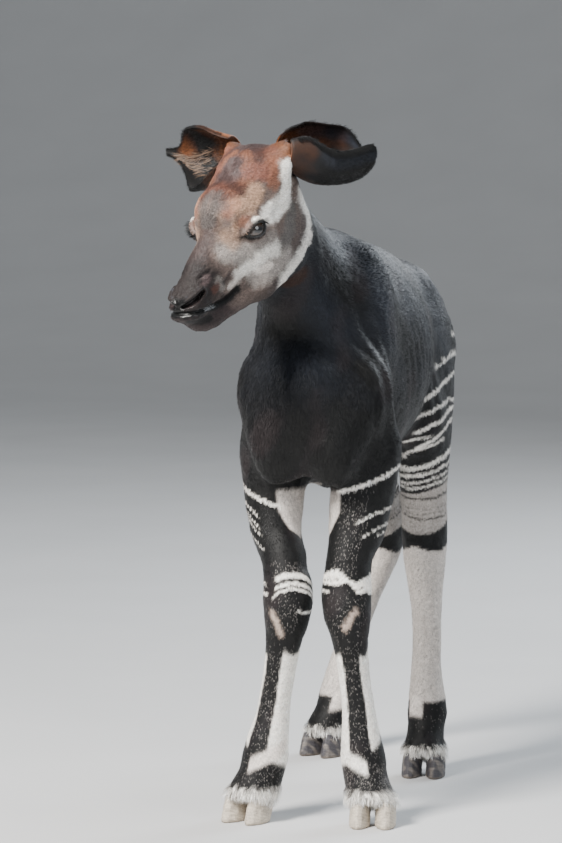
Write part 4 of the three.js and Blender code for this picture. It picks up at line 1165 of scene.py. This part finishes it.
def ear_hair(name, sheet):
    outer, inner, outwards, along, _ = sheet
    side = EARS[name][0]
    rows = outer.shape[0]
    base_uv = np.array([0.66 if side > 0 else 0.8, 0.985])

    def roots(count, low, high, spread_edge=1.0, rim=False):
        r = rng.uniform(low, high, count) * (rows - 1)
        c = (rng.uniform(0, 1, count) - 0.5) * spread_edge * (COLS - 1) + (COLS - 1) / 2
        if rim:
            near = rng.random(count) < 0.5
            front = rng.uniform(0, RIM_WIDE, count)
            c = np.where(near, front, COLS - 1 - rng.uniform(0, RIM_WIDE, count))
        return r, c

    def sample(grid, r, c):
        r0, c0 = np.clip(r.astype(int), 0, rows - 2), np.clip(c.astype(int), 0, COLS - 2)
        fr, fc = (r - r0)[:, None], (c - c0)[:, None]
        return (grid[r0, c0] * (1 - fr) * (1 - fc) + grid[r0 + 1, c0] * fr * (1 - fc)
                + grid[r0, c0 + 1] * (1 - fr) * fc + grid[r0 + 1, c0 + 1] * fr * fc)

    def grow(tag, count, grid, sign, low, high, length, width, lift, rim=False, spread_edge=1.0, tone=None):
        count = count if FULL else count // 4
        r, c = roots(count, low, high, spread_edge, rim)
        at = sample(grid, r, c)
        up = unit(sample(outwards, r, c)) * sign
        turn = c / (COLS - 1) * 2 - 1
        way = np.tile(along, (count, 1))
        if rim:
            lean = unit(np.cross(way, up)) * np.sign(c / (COLS - 1) - 0.5)[:, None]
            way = along * 0.6 + lean
        if tone is None:
            colour = ear_tone(name, r / (rows - 1), turn, sign < 0, at)
        else:
            colour = np.tile(tone, (count, 1))
        uv = base_uv + np.stack([r / rows * 0.12, c / COLS * 0.012 - 0.012], -1)
        blades(f"ear_{name}_{tag}", at, up, way, np.full(count, length), np.full(count, width),
               np.full(count, lift), np.clip(colour, 0.003, 0.9), fur_mat, spread=1.6, uv=uv)

    grow("fuzz", 7000, outer, 1, 0.0, 0.99, 7.0, 0.7, 0.2)
    grow("lining", 4500, inner, -1, 0.05, 0.98, 6.0, 0.6, 0.2)
    grow("fringe", 2600, outer, 1, 0.05, 1.0, 8.0, 0.6, 0.3, rim=True)
    if name == "right":
        grow("wisps", 130, inner, -1, 0.3, 0.75, 18.0, 0.5, 0.3, spread_edge=0.3, tone=TAN * 0.28)


for ear_name in EARS:
    ear_hair(ear_name, made_ear(ear_name))


# The eyes: a dark eyeball with its iris, lid rims, lashes
def eyeball_material():
    mat, tree, out = shader("eyeball", 0.04, Coat_Weight=1.0, Coat_Roughness=0.02, Specular_IOR_Level=0.6)
    ink = tree.nodes.new("ShaderNodeAttribute")
    ink.attribute_name = "coat"
    tex = grain(tree, 700, 6)
    mix = tree.nodes.new("ShaderNodeMix")
    mix.data_type = "RGBA"
    mix.blend_type = "MULTIPLY"
    mix.inputs["Factor"].default_value = 0.4
    tree.links.new(ink.outputs["Color"], mix.inputs["A"])
    tree.links.new(tex.outputs["Color"], mix.inputs["B"])
    tree.links.new(mix.outputs["Result"], out.inputs["Base Color"])
    return mat


def eyeball_colour(local):
    """A dark iris round a long pupil, for places about the eyeball's middle with its front along Z."""
    reach = np.hypot(local[:, 0], local[:, 1])
    front = local[:, 2] > 0
    colour = np.tile(np.array([0.05, 0.04, 0.035]), (len(local), 1))
    colour = paint(colour, ramp(reach, 13.4, 12.4) * front, np.array([0.035, 0.017, 0.008]))
    pupil = np.hypot(local[:, 0] / 8.6, local[:, 1] / 4.2)
    return paint(colour, ramp(pupil, 1.1, 0.9) * front, np.array([0.002, 0.002, 0.003]))


def made_ball(name, middle, way, along, high, glow):
    bm = bmesh.new()
    bmesh.ops.create_uvsphere(bm, u_segments=72, v_segments=48, radius=EYE)
    turn = np.array([along, high, np.cross(along, high)]).T
    local = np.array([v.co[:] for v in bm.verts])
    if np.dot(turn[:, 2], way) < 0:
        turn[:, 2] *= -1
    reach = np.hypot(local[:, 0], local[:, 1])
    cornea = 1.1 * np.clip(1 - (reach / 12.5) ** 2, 0, 1)
    local[:, 2] += np.where(local[:, 2] > 0, cornea, 0)
    placed = from_head(local @ turn.T + middle)
    for v, q in zip(bm.verts, world(placed)):
        v.co = q
    bmesh.ops.recalc_face_normals(bm, faces=bm.faces)
    mesh = bpy.data.meshes.new(f"eye_{name}_ball")
    bm.to_mesh(mesh)
    bm.free()
    mesh.shade_smooth()
    set_colour(mesh, eyeball_colour(local))
    mesh.materials.append(glow)
    ball = added(f"eye_{name}_ball", mesh)
    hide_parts(f"eye_{name}")
    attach(ball, "root")


def made_eyes():
    glow = eyeball_material()
    for name, side in (("left", 1), ("right", -1)):
        middle = eye_middle(float(side))
        way, along, high = (q[0] for q in eye_axes(np.array([float(side)])))
        made_ball(name, middle, way, along, high, glow)
        made_rim(name, middle, way, along, high)


def rim_material():
    mat, tree, out = shader("lid_rim", 0.28, Specular_IOR_Level=0.5)
    shade = spanned(tree, grain(tree, 300).outputs["Fac"], 0.006, 0.02)
    tree.links.new(shade, out.inputs["Base Color"])
    roughened(tree, out, 900, 0.2)
    return mat


rim_mat = rim_material()


def made_rim(name, middle, way, along, high):
    """The lids' moist edge round the opening, and the lashes of the upper lid."""
    steps = 96
    ts = np.linspace(0, 2 * math.pi, steps, endpoint=False)
    a = LENS * np.cos(ts)
    b = np.where(np.sin(ts) > 0, lens_top(a), lens_low(a))
    a0 = a * math.cos(LENS_LEAN) - b * math.sin(LENS_LEAN)
    b0 = b * math.cos(LENS_LEAN) + a * math.sin(LENS_LEAN)
    z = np.sqrt(np.maximum(EYE ** 2 - a0 ** 2 - b0 ** 2, 4))
    ray = unit(a0[:, None] * along + b0[:, None] * high + z[:, None] * way)
    outward = unit((ray - way * (ray @ way)[:, None]) + 1e-6)
    profile = [(EYE - 0.4, -0.2), (EYE + 0.9, 0.0), (EYE + 2.0, 0.7),
               (EYE + 2.6, 1.9), (EYE + 2.2, 3.4), (EYE + 0.6, 4.2)]
    ring = np.stack([middle + unit(ray * EYE + outward * push) * r for r, push in profile], 1)
    k = np.arange(steps * len(profile)).reshape(steps, len(profile))
    n = np.roll(k, -1, axis=0)
    faces = np.stack([k[:, :-1], n[:, :-1], n[:, 1:], k[:, 1:]], -1).reshape(-1, 4)
    rim = make(f"lid_rim_{name}", from_head(ring.reshape(-1, 3)), faces)
    rim.data.materials.append(rim_mat)
    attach(rim, "root")
    upper = (np.sin(ts) > 0.05)
    pick = rng.choice(np.flatnonzero(upper), 260 if FULL else 90)
    at = from_head(middle + unit(ray[pick] * EYE + outward[pick] * 1.2) * (EYE + 2.2))
    lash = outward[pick] * 0.5 + way * 0.8 - high * 0.25
    blades(f"lashes_{name}", at, (outward[pick] @ HEAD.T), lash @ HEAD.T, np.full(len(pick), 9.0),
           np.full(len(pick), 0.4), np.full(len(pick), 0.1), np.tile(BLACK * 0.5, (len(pick), 1)),
           fur_mat, per=1)


made_eyes()


# The hooves: the claws, evened out and ringed
def made_hooves():
    names = [n for n in nodes if "_claw_" in n]
    mesh = remeshed(joined(names, -0.0001), 0.0019, "hooves")
    p = places(mesh)
    p = relax(p, edge_list(mesh), ramp(p[:, 2], 1.0, 4.0), 4)
    n = normals(mesh)
    ring = np.sin((p[:, 2] + 0.35 * p[:, 1] + 1.5 * noise(p, 20, 71)) * 2 * math.pi / 4.6)
    wall = ramp(p[:, 2], 2, 8) * (np.abs(n[:, 2]) < 0.8)
    p = p + n * (0.35 * ring * wall + 0.25 * noise(p, 9, 72) * wall)[:, None]
    p[:, 2] = np.maximum(p[:, 2], 0)
    put(mesh, p)
    fore = p[:, 1] < 250
    dark = np.array([0.035, 0.033, 0.036])
    colour = np.where(fore[:, None], np.array([0.5, 0.44, 0.36]), dark * 1.6)
    colour = paint(colour, ramp(noise(p, 16, 73), -0.2, 0.8) * 0.35, np.array([0.3, 0.26, 0.22]))
    colour = paint(colour, ramp(p[:, 2], 6, 0) * 0.4, np.array([0.28, 0.22, 0.16]))
    colour = colour * (1 + 0.12 * ring + 0.1 * noise(p, 3, 74))[:, None]
    set_colour(mesh, np.clip(colour, 0.005, 0.8))
    mesh.shade_smooth()
    horn = coat_material("horn", 0.45, 500, 0.35, 0.0)
    mesh.materials.append(horn)
    hooves = added("hooves", mesh)
    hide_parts(*names)
    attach(hooves, "root")


made_hooves()


# The tail's tuft
def tail_tuft():
    count = 3400 if FULL else 900
    z = 474 + 200 * rng.random(count) ** 1.4
    turn = rng.uniform(0, 2 * math.pi, count)
    path = np.array([(661, 474), (664, 495), (670, 545), (673, 610), (670, 680), (660, 738),
                     (640, 768)], float)
    y = np.interp(z, path[:, 1], path[:, 0])
    radius = np.interp(z, [474, 500, 610, 680], [4.0, 7.0, 9.0, 10.0])
    out = np.stack([np.cos(turn), np.sin(turn), np.zeros(count)], -1)
    at = np.stack([np.zeros(count), y, z], -1) + out * (radius * 0.8)[:, None]
    length = np.interp(z, [474, 520, 600, 674], [70.0, 90.0, 60.0, 22.0])
    tone = np.tile(BLACK * 0.8, (count, 1))
    uv = np.stack([0.3 + 0.02 * np.cos(turn), 0.02 + (z - 455) / 6000], -1)
    blades("tail_tuft", at, out, np.tile([0.0, -0.02, -1.0], (count, 1)), length, np.full(count, 1.7),
           np.full(count, 0.07), tone, fur_mat, spread=0.6, uv=uv)


tail_tuft()

# Camera and light. The picture is 843 pixels high, and these are its lens and horizon in pixels
PICTURE_HIGH = 843
FOCAL = 3990
HORIZON_UP = 345.5
FILM = 36
AZIMUTH = math.radians(16)
AHEAD = np.array([-math.sin(AZIMUTH), math.cos(AZIMUTH), 0])
STAND = -AHEAD * 6000 + np.array([-42, 0, 1130])
TILT = math.atan(HORIZON_UP / FOCAL)
look = AHEAD * math.cos(TILT) + np.array([0, 0, -math.sin(TILT)])
camera = added("camera", bpy.data.cameras.new("camera"))
camera.data.sensor_width = FILM
camera.data.lens = FILM * FOCAL / PICTURE_HIGH
camera.location = Vector(world(STAND))
camera.rotation_mode = "QUATERNION"
camera.rotation_quaternion = Vector(look).to_track_quat("-Z", "Y")
bpy.context.scene.camera = camera
camera.data.clip_end = 100


def swept_floor():
    """A pale studio floor that curves up far behind the calf."""
    bend, radius = 7.0, 9.0
    arc = np.radians(np.linspace(0, 90, 46))
    run = np.concatenate([[-30, -5], bend + radius * np.sin(arc), [bend + radius]])
    rise = np.concatenate([[0, 0], radius * (1 - np.cos(arc)), [16]])
    mesh = bpy.data.meshes.new("floor")
    wide = 30
    points = [(x, y, z) for y, z in zip(run, rise) for x in (-wide, wide)]
    faces = [(2 * k, 2 * k + 1, 2 * k + 3, 2 * k + 2) for k in range(len(run) - 1)]
    mesh.from_pydata(points, [], faces)
    mesh.shade_smooth()
    return added("floor", mesh)


floor = swept_floor()
floor_mat, floor_tree, floor_out = shader("floor", 0.9)
floor_tone = spanned(floor_tree, grain(floor_tree, 3).outputs["Fac"], 0.5, 0.56)
floor_tree.links.new(floor_tone, floor_out.inputs["Base Color"])
floor.data.materials.append(floor_mat)


def area(name, place, aim, size, power, colour):
    light = added(name, bpy.data.lights.new(name, "AREA"))
    light.data.shape = "DISK"
    light.data.size = size
    light.data.energy = power
    light.data.color = colour
    light.location = place
    light.rotation_mode = "QUATERNION"
    light.rotation_quaternion = (Vector(aim) - Vector(place)).to_track_quat("-Z", "Y")


area("key", (-1.1, -2.9, 3.1), (-0.05, -0.35, 0.9), 1.3, 520, (1.0, 0.97, 0.93))
area("fill", (3.4, -2.6, 1.8), (0, 0, 0.6), 2.6, 60, (0.9, 0.95, 1.0))
area("back", (1.6, 3.4, 3.0), (0, 0.2, 0.7), 2.6, 230, (0.86, 0.93, 1.0))
sky = bpy.data.worlds.new("sky")
bpy.context.scene.world = sky
sky.use_nodes = True
sky.node_tree.nodes["Background"].inputs["Color"].default_value = (0.78, 0.84, 0.9, 1)
sky.node_tree.nodes["Background"].inputs["Strength"].default_value = 0.42
